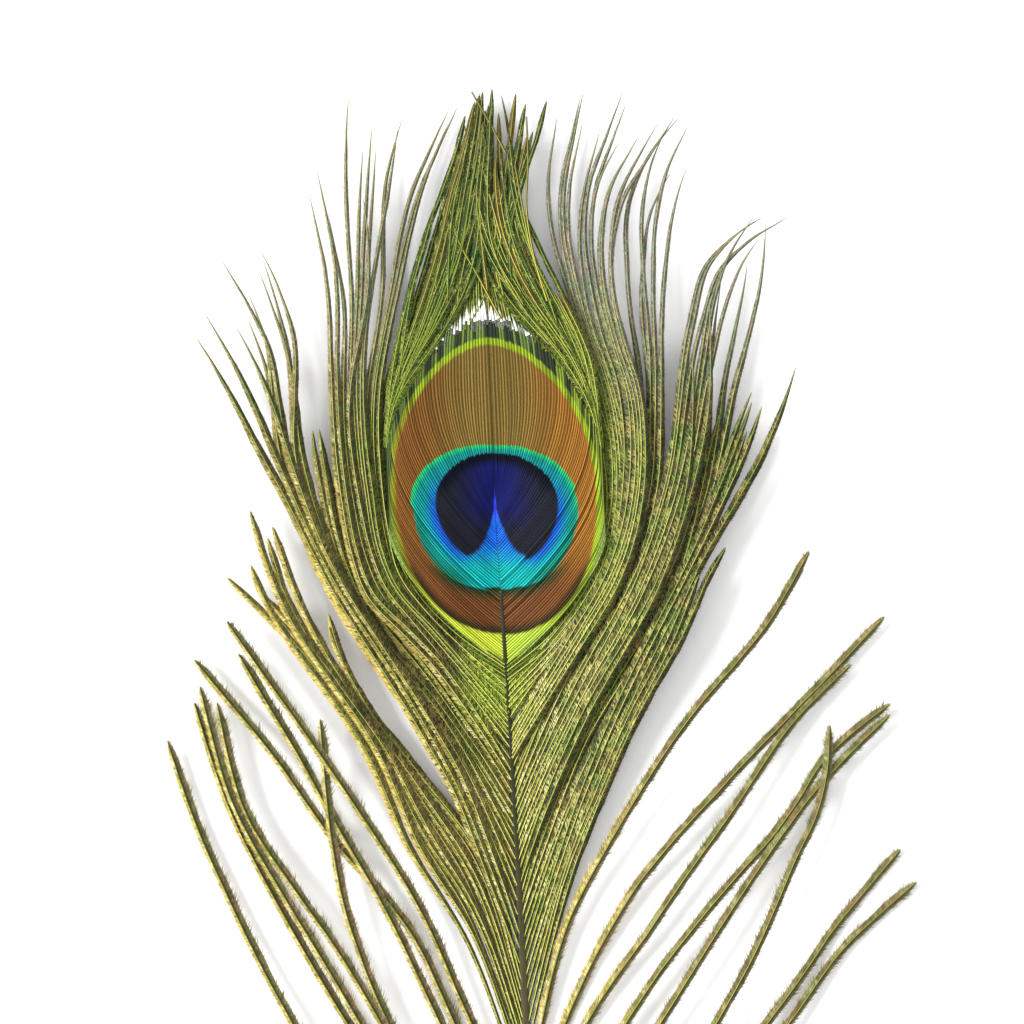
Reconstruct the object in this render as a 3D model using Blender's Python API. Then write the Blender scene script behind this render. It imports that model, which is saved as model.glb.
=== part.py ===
"""A cut peacock eye feather lying flat, front face up.

The shaft runs along +Y. The origin is on the surface that the feather lies on, under the shaft,
at the foot of the vane: the bare quill is at -Y, the eye and the crown of loose tips at +Y.
Lengths below are in millimetres and are turned into metres when a mesh is made.

A herl is one barb of the feather with its own fringe. A lock is a sheaf of herls that cling
together from the shaft to their tips. Each one is a thin ribbon here.
"""

import math

import bmesh
import bpy
import numpy as np

MM = 0.001
GAP = 0.3  # clear space between neighbouring solids

# The shaft: a bare quill, then the rachis that carries the vane up to the heart of the eye
QUILL_LENGTH = 27.0
RACHIS_LENGTH = 167.4
QUILL_WIDTH = 3.0
RACHIS_TIP_WIDTH = 0.5
RACHIS_TAPER = 1.15  # 1 is a straight taper, more keeps the lower rachis stout
SHAFT_HEIGHT_RATIO = 0.85
SHAFT_LEAN = 7.8  # how far the rachis tip stands left of the quill's line
LEAN_POWER = 1.56
SHAFT_STATIONS = 30
MARROW_HOLE_WIDTH = 1.3  # the hollow that shows at the cut
MARROW_HOLE_DEPTH = 7.0
FLAT_SHARE = 0.55  # share of the shaft's width that is its flat underside
FLAT_END = 70.0  # the underside is flat on the table up to here

# The eye: a rounded heart of close barbs, pointed at the foot and at the top
EYE_FOOT = 132.0
EYE_WAIST = 166.0
EYE_TOP = 200.0
EYE_HALF_WIDTH = 20.0
EYE_AXIS_LEAN = 0.045  # sideways shift of the eye's midline for each mm of height
EYE_AXIS_X = -7.3  # the midline's place at the waist
EYE_FOOT_POWER = 1.6
EYE_ROWS = 22
EYE_COLUMNS = 5
EYE_THICKNESS = 0.4

# How high the feather stands off the table
RISE = 2.2  # the rachis tip is lifted this much
RISE_END = 167.0
DROOP_START = 196.0
DROOP_END = 245.0
ARCH = 2.6  # the vane arches up between the shaft and the loose tips
ARCH_SPREAD = 68.0
LAYER = 0.42  # each layer of herls lies this much above the one below
LAYERS = 5
EYE_LAYER = 5

# The ribbons
RIBBON_THICKNESS = 0.32
RIBBON_STATIONS = 14
FOOT_TURN = 12.0  # length over which a ribbon turns from the shaft's side to its own course
TIP_START = 0.78  # where along its length a ribbon begins to narrow
TIP_SHARE = 0.28
WIDEST_FOOT = 6.5
HERL_FOOT = 1.8

# Each row: name, foot (height on the shaft), width, and the points that its middle passes.
# They run from the eye down to the quill.
LEFT_ROWS = (
    ("shoulder", 139, 3.4, ((-16, 144), (-25, 154), (-28, 167), (-27, 186), (-20, 206), (-9, 242))),
    ("lock", 136, 2.8, ((-17, 143), (-26, 153), (-29, 166), (-30, 186), (-27, 204), (-23, 226), (-17, 241))),
    ("lock", 132, 3.0, ((-18, 142), (-28, 153), (-31, 166), (-33, 186), (-32, 206), (-29, 241))),
    ("herl", 128, 2.2, ((-19, 140), (-29, 152), (-33, 166), (-35, 182), (-34, 208), (-36, 222))),
    ("herl", 125, 2.2, ((-19, 139), (-31, 151), (-35, 166), (-37, 186), (-38, 208), (-42, 228))),
    ("lock", 122, 2.4, ((-18, 134), (-28, 145), (-34, 157), (-37, 168), (-39, 179))),
    ("lock", 117, 2.6, ((-18, 130), (-29, 142), (-36, 156), (-40, 171), (-42, 187))),
    ("lock", 111, 3.2, ((-18, 127), (-30, 141), (-38, 156), (-44, 175), (-47, 195), (-52, 211))),
    ("lock", 103, 3.2, ((-16, 120), (-30, 138), (-40, 156), (-46, 175), (-49, 199), (-56, 213))),
    ("lock", 93, 3.6, ((-14, 112), (-28, 133), (-39, 152), (-47, 171), (-55, 191), (-61, 202))),
    ("lock", 84, 2.6, ((-10, 101), (-21, 117), (-32, 130), (-38, 140), (-40, 146))),
    ("lock", 78, 2.6, ((-11, 96), (-24, 115), (-36, 131), (-44, 145), (-50, 162))),
    ("lock", 71, 2.6, ((-12, 92), (-26, 112), (-38, 129), (-47, 145), (-55, 155))),
    ("lock", 66, 2.6, ((-13, 88), (-27, 109), (-40, 129), (-49, 148), (-54, 165))),
    ("herl", 54, 2.2, ((-12, 71), (-21, 92), (-33, 111), (-46, 129), (-57, 145))),
    ("herl", 47, 2.2, ((-14, 68), (-24, 88), (-38, 105), (-50, 122), (-63, 138))),
    ("herl", 42, 2.2, ((-15, 66), (-28, 92), (-37, 107), (-46, 123), (-55, 139))),
    ("herl", 31, 2.0, ((-18, 56), (-30, 77), (-35, 90), (-38, 106), (-40, 127))),
    ("herl", 27, 2.2, ((-18, 54), (-33, 79), (-44, 95), (-55, 114), (-59, 130))),
    ("herl", 22, 2.2, ((-20, 51), (-35, 76), (-46, 94), (-57, 115), (-62, 133))),
    ("herl", 17, 2.2, ((-21, 48), (-38, 76), (-49, 96), (-58, 115), (-63, 130))),
    ("herl", 8, 2.2, ((-24, 42), (-45, 70), (-56, 91), (-62, 105), (-68, 123))),
    ("herl", 3, 1.8, ((-12, 18), (-22, 31), (-33, 51))),
)
RIGHT_ROWS = (
    ("shoulder", 139, 3.4, ((4, 145), (10, 154), (13, 166), (11, 182), (4, 197), (-5, 216), (-11, 241))),
    ("lock", 136, 3.0, ((5, 144), (12, 154), (15, 166), (14, 184), (8, 203), (5, 219), (9, 243))),
    ("herl", 132, 2.2, ((6, 143), (13, 153), (16, 167), (16, 186), (11, 204), (9, 220), (16, 243))),
    ("lock", 129, 3.2, ((7, 142), (14, 153), (18, 167), (18, 186), (13, 204), (13, 221), (23, 240))),
    ("herl", 125, 2.2, ((8, 142), (15, 152), (19, 169), (20, 186), (18, 206), (20, 226), (28, 237))),
    ("lock", 122, 3.2, ((9, 141), (16, 153), (21, 169), (22, 188), (22, 210), (24, 225), (29, 236))),
    ("lock", 117, 2.6, ((10, 137), (19, 154), (25, 173), (28, 195), (33, 213), (45, 222))),
    ("lock", 112, 2.6, ((10, 133), (20, 151), (27, 171), (31, 195), (34, 210), (40, 220))),
    ("lock", 107, 2.4, ((11, 132), (21, 149), (28, 169), (31, 188), (31, 203))),
    ("lock", 102, 3.4, ((12, 130), (23, 148), (31, 169), (35, 193), (38, 207), (39, 218))),
    ("lock", 95, 2.4, ((12, 123), (24, 146), (33, 169), (37, 180), (40, 187))),
    ("lock", 88, 2.8, ((11, 116), (23, 141), (33, 162), (40, 179), (44, 193))),
    ("lock", 80, 2.4, ((8, 105), (17, 126), (26, 143), (31, 154), (34, 159))),
    ("herl", 66, 2.2, ((5, 88), (14, 105), (28, 127), (42, 144), (50, 158))),
    ("herl", 56, 2.2, ((8, 77), (19, 96), (33, 114), (49, 130), (64, 146))),
    ("herl", 51, 2.2, ((12, 75), (24, 94), (37, 112), (47, 126), (58, 137))),
    ("herl", 44, 2.2, ((19, 75), (34, 95), (46, 109), (53, 120), (65, 130))),
    ("herl", 37, 2.2, ((23, 72), (37, 94), (47, 108), (55, 118), (65, 128))),
    ("herl", 27, 2.0, ((18, 49), (32, 70), (40, 84), (47, 99), (53, 113), (54, 126))),
    ("herl", 21, 2.2, ((23, 49), (41, 70), (50, 81), (58, 92), (67, 103))),
    ("herl", 14, 2.2, ((28, 51), (47, 72), (58, 86), (70, 97))),
    ("herl", 7, 1.8, ((14, 24), (27, 42), (37, 60))),
    ("herl", 2, 1.8, ((10, 14), (19, 27), (26, 43))),
)
# The crown is the free upper end of the eye's own barbs: name, widths at foot and tip, layer, route
CROWN_ROWS = (
    ("crown_left", 10.0, 2.4, 5, ((-17.5, 203), (-14.5, 212), (-12, 224), (-9, 243))),
    ("crown_right", 10.0, 2.4, 6, ((-3.5, 203), (-6, 212), (-8, 224), (-7, 243))),
    ("crown_stray", 2.4, 1.2, 7, ((1.5, 203), (-1.5, 214), (-1.5, 228), (1.5, 241))),
)

# Plain colours, metallic and roughness values
FINISHES = {
    "shaft_horn": ((0.36, 0.30, 0.17), 0.0, 0.45),
    "eye_barbs": ((0.16, 0.22, 0.08), 0.4, 0.4),
    "herl_barbs": ((0.14, 0.17, 0.04), 0.3, 0.5),
}


def clear_scene():
    for obj in list(bpy.data.objects):
        bpy.data.objects.remove(obj, do_unlink=True)


def smoothstep(value):
    share = min(max(value, 0.0), 1.0)
    return share * share * (3.0 - 2.0 * share)


def finish(name):
    """The named material, made once."""
    found = bpy.data.materials.get(name)
    if found:
        return found
    colour, metallic, roughness = FINISHES[name]
    material = bpy.data.materials.new(name)
    material.use_nodes = True
    shader = material.node_tree.nodes["Principled BSDF"]
    shader.inputs["Base Color"].default_value = (*colour, 1.0)
    shader.inputs["Metallic"].default_value = metallic
    shader.inputs["Roughness"].default_value = roughness
    return material


def add_object(name, shape, material):
    """A new object from a bmesh whose lengths are in mm."""
    bmesh.ops.scale(shape, vec=(MM, MM, MM), verts=shape.verts)
    bmesh.ops.recalc_face_normals(shape, faces=shape.faces)
    mesh = bpy.data.meshes.new(name)
    shape.to_mesh(mesh)
    shape.free()
    mesh.shade_smooth()
    mesh.set_sharp_from_angle(angle=math.radians(40))
    mesh.materials.append(finish(material))
    obj = bpy.data.objects.new(name, mesh)
    bpy.context.scene.collection.objects.link(obj)
    return obj


# --- the shared measures of the feather ---------------------------------------------------------


def axis_x(y):
    """The shaft's sideways place: straight in the quill, then a slow bow to the left."""
    share = min(max(y, 0.0), RACHIS_LENGTH) / RACHIS_LENGTH
    return -SHAFT_LEAN * share**LEAN_POWER


def shaft_width(y):
    share = min(max(y, 0.0), RACHIS_LENGTH) / RACHIS_LENGTH
    return RACHIS_TIP_WIDTH + (QUILL_WIDTH - RACHIS_TIP_WIDTH) * (1.0 - share) ** RACHIS_TAPER


def shaft_height(y):
    return SHAFT_HEIGHT_RATIO * shaft_width(y)


def shaft_floor(y):
    """Height of the shaft's underside, or of the vane's midline above the rachis tip."""
    lift = RISE * smoothstep((y - FLAT_END) / (RISE_END - FLAT_END))
    return lift * (1.0 - smoothstep((y - DROOP_START) / (DROOP_END - DROOP_START)))


def vane_height(x, y, layer):
    """Height of the middle of a ribbon in the given layer."""
    away = min(abs(x - axis_x(y)) / ARCH_SPREAD, 1.0)
    arch = ARCH * math.sin(math.pi * away) ** 2
    return shaft_floor(y) + 0.4 * shaft_height(y) + arch + layer * LAYER


# --- the shaft ----------------------------------------------------------------------------------


def shaft_ring(y, scale):
    """Eight points of the shaft's section: a flat underside, upright sides and a rounded back."""
    half = 0.5 * shaft_width(y)
    height = shaft_height(y)
    outline = (
        (FLAT_SHARE, 0.0),
        (1.0, 0.32),
        (0.92, 0.68),
        (0.5, 0.95),
        (-0.5, 0.95),
        (-0.92, 0.68),
        (-1.0, 0.32),
        (-FLAT_SHARE, 0.0),
    )
    middle = 0.5
    ring = []
    for across, up in outline:
        x = axis_x(y) + half * across * scale
        z = shaft_floor(y) + height * (middle + (up - middle) * scale)
        ring.append((x, y, z))
    return ring


def add_shaft():
    """Quill and rachis in one piece, with the open marrow hole at the cut."""
    shape = bmesh.new()
    hole_scale = MARROW_HOLE_WIDTH / QUILL_WIDTH
    span = QUILL_LENGTH + RACHIS_LENGTH
    outer = [-QUILL_LENGTH + span * k / (SHAFT_STATIONS - 1) for k in range(SHAFT_STATIONS)]
    inside = [shaft_ring(MARROW_HOLE_DEPTH - QUILL_LENGTH, hole_scale)]
    inside.append(shaft_ring(-QUILL_LENGTH, hole_scale))
    rings = inside + [shaft_ring(y, 1.0) for y in outer]
    loops = [[shape.verts.new(point) for point in ring] for ring in rings]
    for first, second in zip(loops, loops[1:]):
        for k in range(len(first)):
            after = (k + 1) % len(first)
            shape.faces.new((first[k], first[after], second[after], second[k]))
    shape.faces.new(loops[0])
    shape.faces.new(loops[-1])
    return add_object("shaft", shape, "shaft_horn")


# --- thin sheets: the eye's halves and the ribbons ----------------------------------------------


def thick_grid(rows, thickness):
    """A closed thin sheet from rows of points, half the thickness above and half below."""
    shape = bmesh.new()
    sheets = []
    for lift in (0.5 * thickness, -0.5 * thickness):
        sheets.append([[shape.verts.new((x, y, z + lift)) for x, y, z in row] for row in rows])
    top, bottom = sheets
    last_row = len(rows) - 1
    last_column = len(rows[0]) - 1
    for r in range(last_row):
        for c in range(last_column):
            shape.faces.new((top[r][c], top[r][c + 1], top[r + 1][c + 1], top[r + 1][c]))
            shape.faces.new((bottom[r][c], bottom[r + 1][c], bottom[r + 1][c + 1], bottom[r][c + 1]))
    for r in range(last_row):
        for c in (0, last_column):
            shape.faces.new((top[r][c], top[r + 1][c], bottom[r + 1][c], bottom[r][c]))
    for c in range(last_column):
        for r in (0, last_row):
            shape.faces.new((top[r][c], top[r][c + 1], bottom[r][c + 1], bottom[r][c]))
    return shape


def eye_half_width(y):
    if y < EYE_WAIST:
        share = (EYE_WAIST - y) / (EYE_WAIST - EYE_FOOT)
        return EYE_HALF_WIDTH * (1.0 - share**EYE_FOOT_POWER)
    share = (y - EYE_WAIST) / (EYE_TOP - EYE_WAIST)
    return EYE_HALF_WIDTH * math.sqrt(max(1.0 - share * share, 0.0))


def add_eye_half(name, side):
    """One half of the eye: from the rachis, or the midline above its tip, out to the rim."""
    rows = []
    for r in range(EYE_ROWS):
        # Even steps of angle put the rows close together at the foot and at the top
        turn = 0.5 - 0.5 * math.cos(math.pi * (r + 0.6) / (EYE_ROWS + 0.2))
        y = EYE_FOOT + (EYE_TOP - EYE_FOOT) * turn
        midline = EYE_AXIS_X - EYE_AXIS_LEAN * (y - EYE_WAIST)
        if y < RACHIS_LENGTH + GAP:
            inner = axis_x(y) + side * (0.5 * shaft_width(y) + GAP)
        else:
            inner = 0.5 * (axis_x(y) + midline) + side * GAP
        outer = midline + side * max(eye_half_width(y), 0.0)
        if side * (outer - inner) < 1.0:
            outer = inner + side * 1.0
        columns = [inner + (outer - inner) * c / (EYE_COLUMNS - 1) for c in range(EYE_COLUMNS)]
        rows.append([(x, y, vane_height(x, y, EYE_LAYER)) for x in columns])
    return add_object(name, thick_grid(rows, EYE_THICKNESS), "eye_barbs")


def smooth_route(points, count):
    """Places and directions at even steps along a smooth curve through the points."""
    knots = np.array(points, float)
    steps = np.linalg.norm(np.diff(knots, axis=0), axis=1)
    at = np.concatenate([[0.0], np.cumsum(steps)])
    slopes = np.gradient(knots, at, axis=0)
    fine = np.linspace(0.0, at[-1], 400)
    k = np.clip(np.searchsorted(at, fine, side="right") - 1, 0, len(at) - 2)
    span = (at[k + 1] - at[k])[:, None]
    u = (fine - at[k])[:, None] / span
    curve = (
        (1 + 2 * u) * (1 - u) ** 2 * knots[k]
        + u * (1 - u) ** 2 * span * slopes[k]
        + u * u * (3 - 2 * u) * knots[k + 1]
        + u * u * (u - 1) * span * slopes[k + 1]
    )
    lengths = np.concatenate([[0.0], np.cumsum(np.linalg.norm(np.diff(curve, axis=0), axis=1))])
    even = np.linspace(0.0, lengths[-1], count)
    places = np.stack([np.interp(even, lengths, curve[:, axis]) for axis in (0, 1)], axis=1)
    headings = np.gradient(places, even, axis=0)
    headings /= np.linalg.norm(headings, axis=1)[:, None]
    return places, headings, even


def ribbon_rows(places, edges, layer):
    """Two points for each station, at the middle less and plus half of its edge vector."""
    rows = []
    for place, edge in zip(places, edges):
        pair = (place - 0.5 * edge, place + 0.5 * edge)
        rows.append([(x, y, vane_height(x, y, layer)) for x, y in pair])
    return rows


def add_herl(name, side, foot, stretch, width, layer, route):
    """A ribbon that leaves the shaft's side over a stretch of it and runs along its route."""
    start_x = axis_x(foot) + side * (0.5 * shaft_width(foot) + GAP)
    places, headings, along = smooth_route(((start_x, foot), *route), RIBBON_STATIONS)
    slope = axis_x(foot + 1.0) - axis_x(foot)
    shaft_way = np.array([slope, 1.0]) / math.hypot(slope, 1.0)
    edges = []
    for heading, distance in zip(headings, along):
        across = side * np.array([-heading[1], heading[0]])
        narrowing = smoothstep((distance / along[-1] - TIP_START) / (1.0 - TIP_START))
        own = across * width * (1.0 - (1.0 - TIP_SHARE) * narrowing)
        turned = smoothstep(distance / FOOT_TURN)
        edges.append((1.0 - turned) * shaft_way * stretch + turned * own)
    rows = ribbon_rows(places, edges, layer)
    return add_object(name, thick_grid(rows, RIBBON_THICKNESS), "herl_barbs")


def foot_stretches(rows):
    """The stretch of shaft that each row's barbs spring from: up to halfway to its neighbours."""
    feet = [row[1] for row in rows]
    gaps = [above - below for above, below in zip(feet, feet[1:])]
    stretches = []
    for k, row in enumerate(rows):
        near = min(gaps[max(k - 1, 0)], gaps[min(k, len(gaps) - 1)])
        widest = HERL_FOOT if row[0] == "herl" else WIDEST_FOOT
        stretches.append(min(0.9 * near, widest))
    return stretches


def add_side(side, side_name, rows, first_layer):
    for k, (row, stretch) in enumerate(zip(rows, foot_stretches(rows))):
        kind, foot, width, route = row
        name = f"shoulder_{side_name}" if kind == "shoulder" else f"{kind}_{side_name}_{k:02d}"
        layer = (k + first_layer) % LAYERS
        add_herl(name, side, foot, stretch, width, layer, route)


def add_crown():
    """The eye's barbs run on past its rim as three sheaves that lean together and cross."""
    for name, foot_width, tip_width, layer, route in CROWN_ROWS:
        places, headings, along = smooth_route(route, RIBBON_STATIONS)
        edges = []
        for heading, distance in zip(headings, along):
            width = foot_width + (tip_width - foot_width) * distance / along[-1]
            edges.append(np.array([-heading[1], heading[0]]) * width)
        rows = ribbon_rows(places, edges, layer)
        add_object(name, thick_grid(rows, RIBBON_THICKNESS), "eye_barbs")


clear_scene()
add_shaft()
add_eye_half("eye_left", -1)
add_eye_half("eye_right", 1)
add_crown()
add_side(-1, "left", LEFT_ROWS, 0)
add_side(1, "right", RIGHT_ROWS, 1)
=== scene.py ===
# %% [markdown]
# A peacock's eye feather lies face up on a pale table. The solid model says where each piece is,
# and this lesson grows the visible feather over it: a horn shaft, and more than two hundred
# barbs that each carry a fringe of barbules. Every piece is a mesh made from arrays of points,
# because a barb is a simple rule repeated along a path, and a rule is easier to tune than a sculpt.

import math

import bpy
import numpy as np
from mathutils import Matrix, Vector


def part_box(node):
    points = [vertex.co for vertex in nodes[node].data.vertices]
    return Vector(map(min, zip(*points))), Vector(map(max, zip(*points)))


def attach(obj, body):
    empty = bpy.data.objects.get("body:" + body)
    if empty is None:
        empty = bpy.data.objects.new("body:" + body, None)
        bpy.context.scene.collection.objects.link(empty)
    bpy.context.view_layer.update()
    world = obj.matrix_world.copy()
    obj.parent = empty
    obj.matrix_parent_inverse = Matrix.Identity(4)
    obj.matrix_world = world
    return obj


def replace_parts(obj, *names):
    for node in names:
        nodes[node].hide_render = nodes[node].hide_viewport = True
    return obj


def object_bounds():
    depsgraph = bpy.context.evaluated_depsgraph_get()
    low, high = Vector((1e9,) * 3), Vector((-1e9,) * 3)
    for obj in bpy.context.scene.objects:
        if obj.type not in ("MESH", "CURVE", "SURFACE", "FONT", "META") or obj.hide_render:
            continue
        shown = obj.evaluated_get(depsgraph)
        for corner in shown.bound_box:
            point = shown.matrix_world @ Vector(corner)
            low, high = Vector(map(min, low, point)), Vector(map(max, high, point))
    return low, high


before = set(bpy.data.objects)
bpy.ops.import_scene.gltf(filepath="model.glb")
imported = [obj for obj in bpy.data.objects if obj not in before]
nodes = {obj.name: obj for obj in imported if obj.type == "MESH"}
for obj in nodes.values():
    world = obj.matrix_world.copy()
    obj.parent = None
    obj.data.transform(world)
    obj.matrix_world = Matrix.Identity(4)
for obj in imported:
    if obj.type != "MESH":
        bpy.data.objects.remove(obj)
cad_low, cad_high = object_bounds()
MM = 1000.0  # millimetres in a metre: shapes below are worked out in millimetres
print(len(nodes), "solids,", [round(MM * side) for side in cad_high - cad_low], "mm")

# %% [markdown]
# The camera looks straight down on the eye of the feather. A long lens far above keeps the
# barbs at the edge of the view free of perspective. The view is framed on the eye's own box, so
# it follows the model if the model changes.

# %% Camera above the eye
EYE_PARTS = ("eye_left", "eye_right")
eye_low = np.array([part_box(name)[0] for name in EYE_PARTS]).min(axis=0)
eye_high = np.array([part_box(name)[1] for name in EYE_PARTS]).max(axis=0)
eye_width = eye_high[0] - eye_low[0]
VIEW_WIDTH = 4.74  # the view's width in widths of the eye
VIEW_RIGHT = 0.0715  # how far the view's middle is from the eye's, in widths of the eye
VIEW_DOWN = 0.02
CAMERA_HEIGHT = 1.2
FARTHEST_SEEN = 10.0

camera_data = bpy.data.cameras.new("camera")
camera = bpy.data.objects.new("camera", camera_data)
bpy.context.scene.collection.objects.link(camera)
camera.location = (
    0.5 * (eye_low[0] + eye_high[0]) + VIEW_RIGHT * eye_width,
    0.5 * (eye_low[1] + eye_high[1]) - VIEW_DOWN * eye_width,
    CAMERA_HEIGHT,
)
camera_data.lens = camera_data.sensor_width * CAMERA_HEIGHT / (VIEW_WIDTH * eye_width)
camera_data.clip_end = FARTHEST_SEEN
bpy.context.scene.camera = camera
bpy.context.scene.view_settings.view_transform = "Standard"
print("eye", round(MM * eye_width, 1), "mm wide, lens", round(camera_data.lens), "mm")

# %% [markdown]
# Shader nodes do arithmetic one box at a time, which is hard to read. This small class wraps one
# output socket, so that `1 - mask * 2` adds the Math nodes by itself. A Finish holds a material,
# and its one method `node` makes any other node from its type, its settings and its inputs.

# %% Shader arithmetic in plain expressions
class Wire:
    """One output socket of a finish. Arithmetic on it adds Math nodes."""

    def __init__(self, finish, socket):
        self.finish = finish
        self.socket = socket

    def maths(self, operation, *values):
        return self.finish.node("ShaderNodeMath", {"operation": operation}, dict(enumerate(values)))

    def __add__(self, other):
        return self.maths("ADD", self, other)

    def __sub__(self, other):
        return self.maths("SUBTRACT", self, other)

    def __mul__(self, other):
        return self.maths("MULTIPLY", self, other)

    def __truediv__(self, other):
        return self.maths("DIVIDE", self, other)

    def __pow__(self, other):
        return self.maths("POWER", self, other)

    def __rsub__(self, other):
        return self.maths("SUBTRACT", other, self)

    __radd__ = __add__
    __rmul__ = __mul__

    def size(self):
        return self.maths("ABSOLUTE", self)

    def at_least(self, other):
        return self.maths("MAXIMUM", self, other)

    def at_most(self, other):
        return self.maths("MINIMUM", self, other)

    def step(self, low, high):
        """0 at low, 1 at high, and smooth between them. Low may be the larger."""
        names = {"Value": self, "From Min": low, "From Max": high}
        return self.finish.node("ShaderNodeMapRange", {"interpolation_type": "SMOOTHSTEP"}, names)


class Finish:
    """A material with one Principled shader, whose constants are set on the shader itself."""

    def __init__(self, name, **constants):
        self.material = bpy.data.materials.new(name)
        self.material.use_nodes = True
        self.tree = self.material.node_tree
        self.shader = self.tree.nodes["Principled BSDF"]
        for socket_name, value in constants.items():
            self.shader.inputs[socket_name.replace("_", " ")].default_value = value

    def node(self, kind, settings, values, output=0):
        made = self.tree.nodes.new(kind)
        for setting, value in settings.items():
            setattr(made, setting, value)
        for key, value in values.items():
            self.feed(made.inputs[key], value)
        return Wire(self, made.outputs[output])

    def feed(self, socket, value):
        if isinstance(value, Wire):
            self.tree.links.new(value.socket, socket)
        elif socket.type == "RGBA":
            socket.default_value = (*value, 1.0)
        else:
            socket.default_value = value

    def read(self, name, output="Fac"):
        """A value or a vector that the mesh holds at each point."""
        return self.node("ShaderNodeAttribute", {"attribute_name": name}, {}, output)

    def parts(self, vector):
        return [self.node("ShaderNodeSeparateXYZ", {}, {0: vector}, axis) for axis in "XYZ"]

    def mix(self, mask, first, second):
        """A colour: first where the mask is 0, second where it is 1."""
        return self.node("ShaderNodeMix", {"data_type": "RGBA"}, {0: mask, 6: first, 7: second}, 2)

    def scaled(self, colour, amount):
        """A colour made lighter or darker."""
        inputs = {0: colour, "Scale": amount}
        return self.node("ShaderNodeVectorMath", {"operation": "SCALE"}, inputs)

    def noise(self, place, scale, detail=2.0):
        """Smooth random blotches, finer as the scale grows."""
        inputs = {"Vector": place, "Scale": scale, "Detail": detail}
        return self.node("ShaderNodeTexNoise", {}, inputs)


def paint(red, green, blue):
    """A colour given 0 to 255, as on a screen, as the light values that shaders use."""
    parts = (red, green, blue)
    return tuple(((c / 255 + 0.055) / 1.055) ** 2.4 if c > 10 else c / 3294 for c in parts)


print("shader arithmetic ready")

# %% [markdown]
# The table is plain and pale, and the light is soft: a bright dome all round, and one broad lamp
# low on the left. The lamp rakes across the barbules, which droop to both sides of each barb, so
# their left slopes shine and their right slopes stay dark.

# %% Table and light
TABLE_SIZE = 6.0
LAMP_HEIGHT_ANGLE = 38.0
LAMP_TURN = 172.0  # where the light comes from, in degrees from +X
LAMP_STRENGTH = 2.7
LAMP_SOFTNESS = 18.0
DOME_STRENGTH = 1.0

table_mesh = bpy.data.meshes.new("table")
half = 0.5 * TABLE_SIZE
square = ((-half, -half), (half, -half), (half, half), (-half, half))
table_mesh.from_pydata([(x, y, cad_low.z) for x, y in square], [], [(0, 1, 2, 3)])
table = bpy.data.objects.new("table", table_mesh)
bpy.context.scene.collection.objects.link(table)
card = Finish("pale_card", Roughness=0.9)
spot = card.node("ShaderNodeTexCoord", {}, {}, "Object")
card_white = card.mix(card.noise(spot, 9.0), paint(250, 250, 250), paint(254, 254, 254))
card.feed(card.shader.inputs["Base Color"], card_white)
table_mesh.materials.append(card.material)

lamp_data = bpy.data.lights.new("lamp", "SUN")
lamp_data.energy = LAMP_STRENGTH
lamp_data.angle = math.radians(LAMP_SOFTNESS)
lamp = bpy.data.objects.new("lamp", lamp_data)
lamp.rotation_euler = (0.0, math.radians(90.0 - LAMP_HEIGHT_ANGLE), math.radians(LAMP_TURN))
bpy.context.scene.collection.objects.link(lamp)

dome = bpy.data.worlds.new("dome")
dome.use_nodes = True
dome.node_tree.nodes["Background"].inputs["Color"].default_value = (1.0, 1.0, 1.0, 1.0)
dome.node_tree.nodes["Background"].inputs["Strength"].default_value = DOME_STRENGTH
bpy.context.scene.world = dome
print("lamp from", LAMP_TURN, "degrees")

# %% [markdown]
# Barbs grow from the shaft, so its middle line, width and height are read from its solid, ring
# by ring. Everything that touches the shaft later asks these functions instead of guessing.

# %% Measure the shaft
SAME_RING = 0.02  # points whose heights up the shaft differ by less, in mm, are one ring
LEAVE_SHARE = 0.55  # how far up the shaft's side its barbs leave it


def points_of(name):
    """The points of a solid, in millimetres."""
    mesh = nodes[name].data
    found = np.empty(3 * len(mesh.vertices), np.float32)
    mesh.vertices.foreach_get("co", found)
    return found.reshape(-1, 3).astype(float) * MM


shaft_points = points_of("shaft")
ring_y = np.unique(np.round(shaft_points[:, 1], 2))
rings = [shaft_points[np.abs(shaft_points[:, 1] - y) < SAME_RING] for y in ring_y]
ring_x = np.array([0.5 * (ring[:, 0].min() + ring[:, 0].max()) for ring in rings])
ring_width = np.array([np.ptp(ring[:, 0]) for ring in rings])
ring_floor = np.array([ring[:, 2].min() for ring in rings])
ring_height = np.array([np.ptp(ring[:, 2]) for ring in rings])
TIP_Y = ring_y[-1]


def shaft_x(y):
    return np.interp(y, ring_y, ring_x)


def shaft_width(y):
    return np.interp(y, ring_y, ring_width)


def shaft_side(y):
    """The height above the table at which barbs leave the shaft's side."""
    return np.interp(y, ring_y, ring_floor) + LEAVE_SHARE * np.interp(y, ring_y, ring_height)


print(len(rings), "rings, tip at", round(TIP_Y, 1), "mm")

# %% [markdown]
# Each lock or herl is a thin ribbon in the solid model. Its barbs run between the ribbon's two
# long edges. A ribbon's upright walls, seen from above, are lines, so the triangles that look
# like lines give its outline. Cutting the outline at the foot and at the tip leaves two edges.

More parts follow.
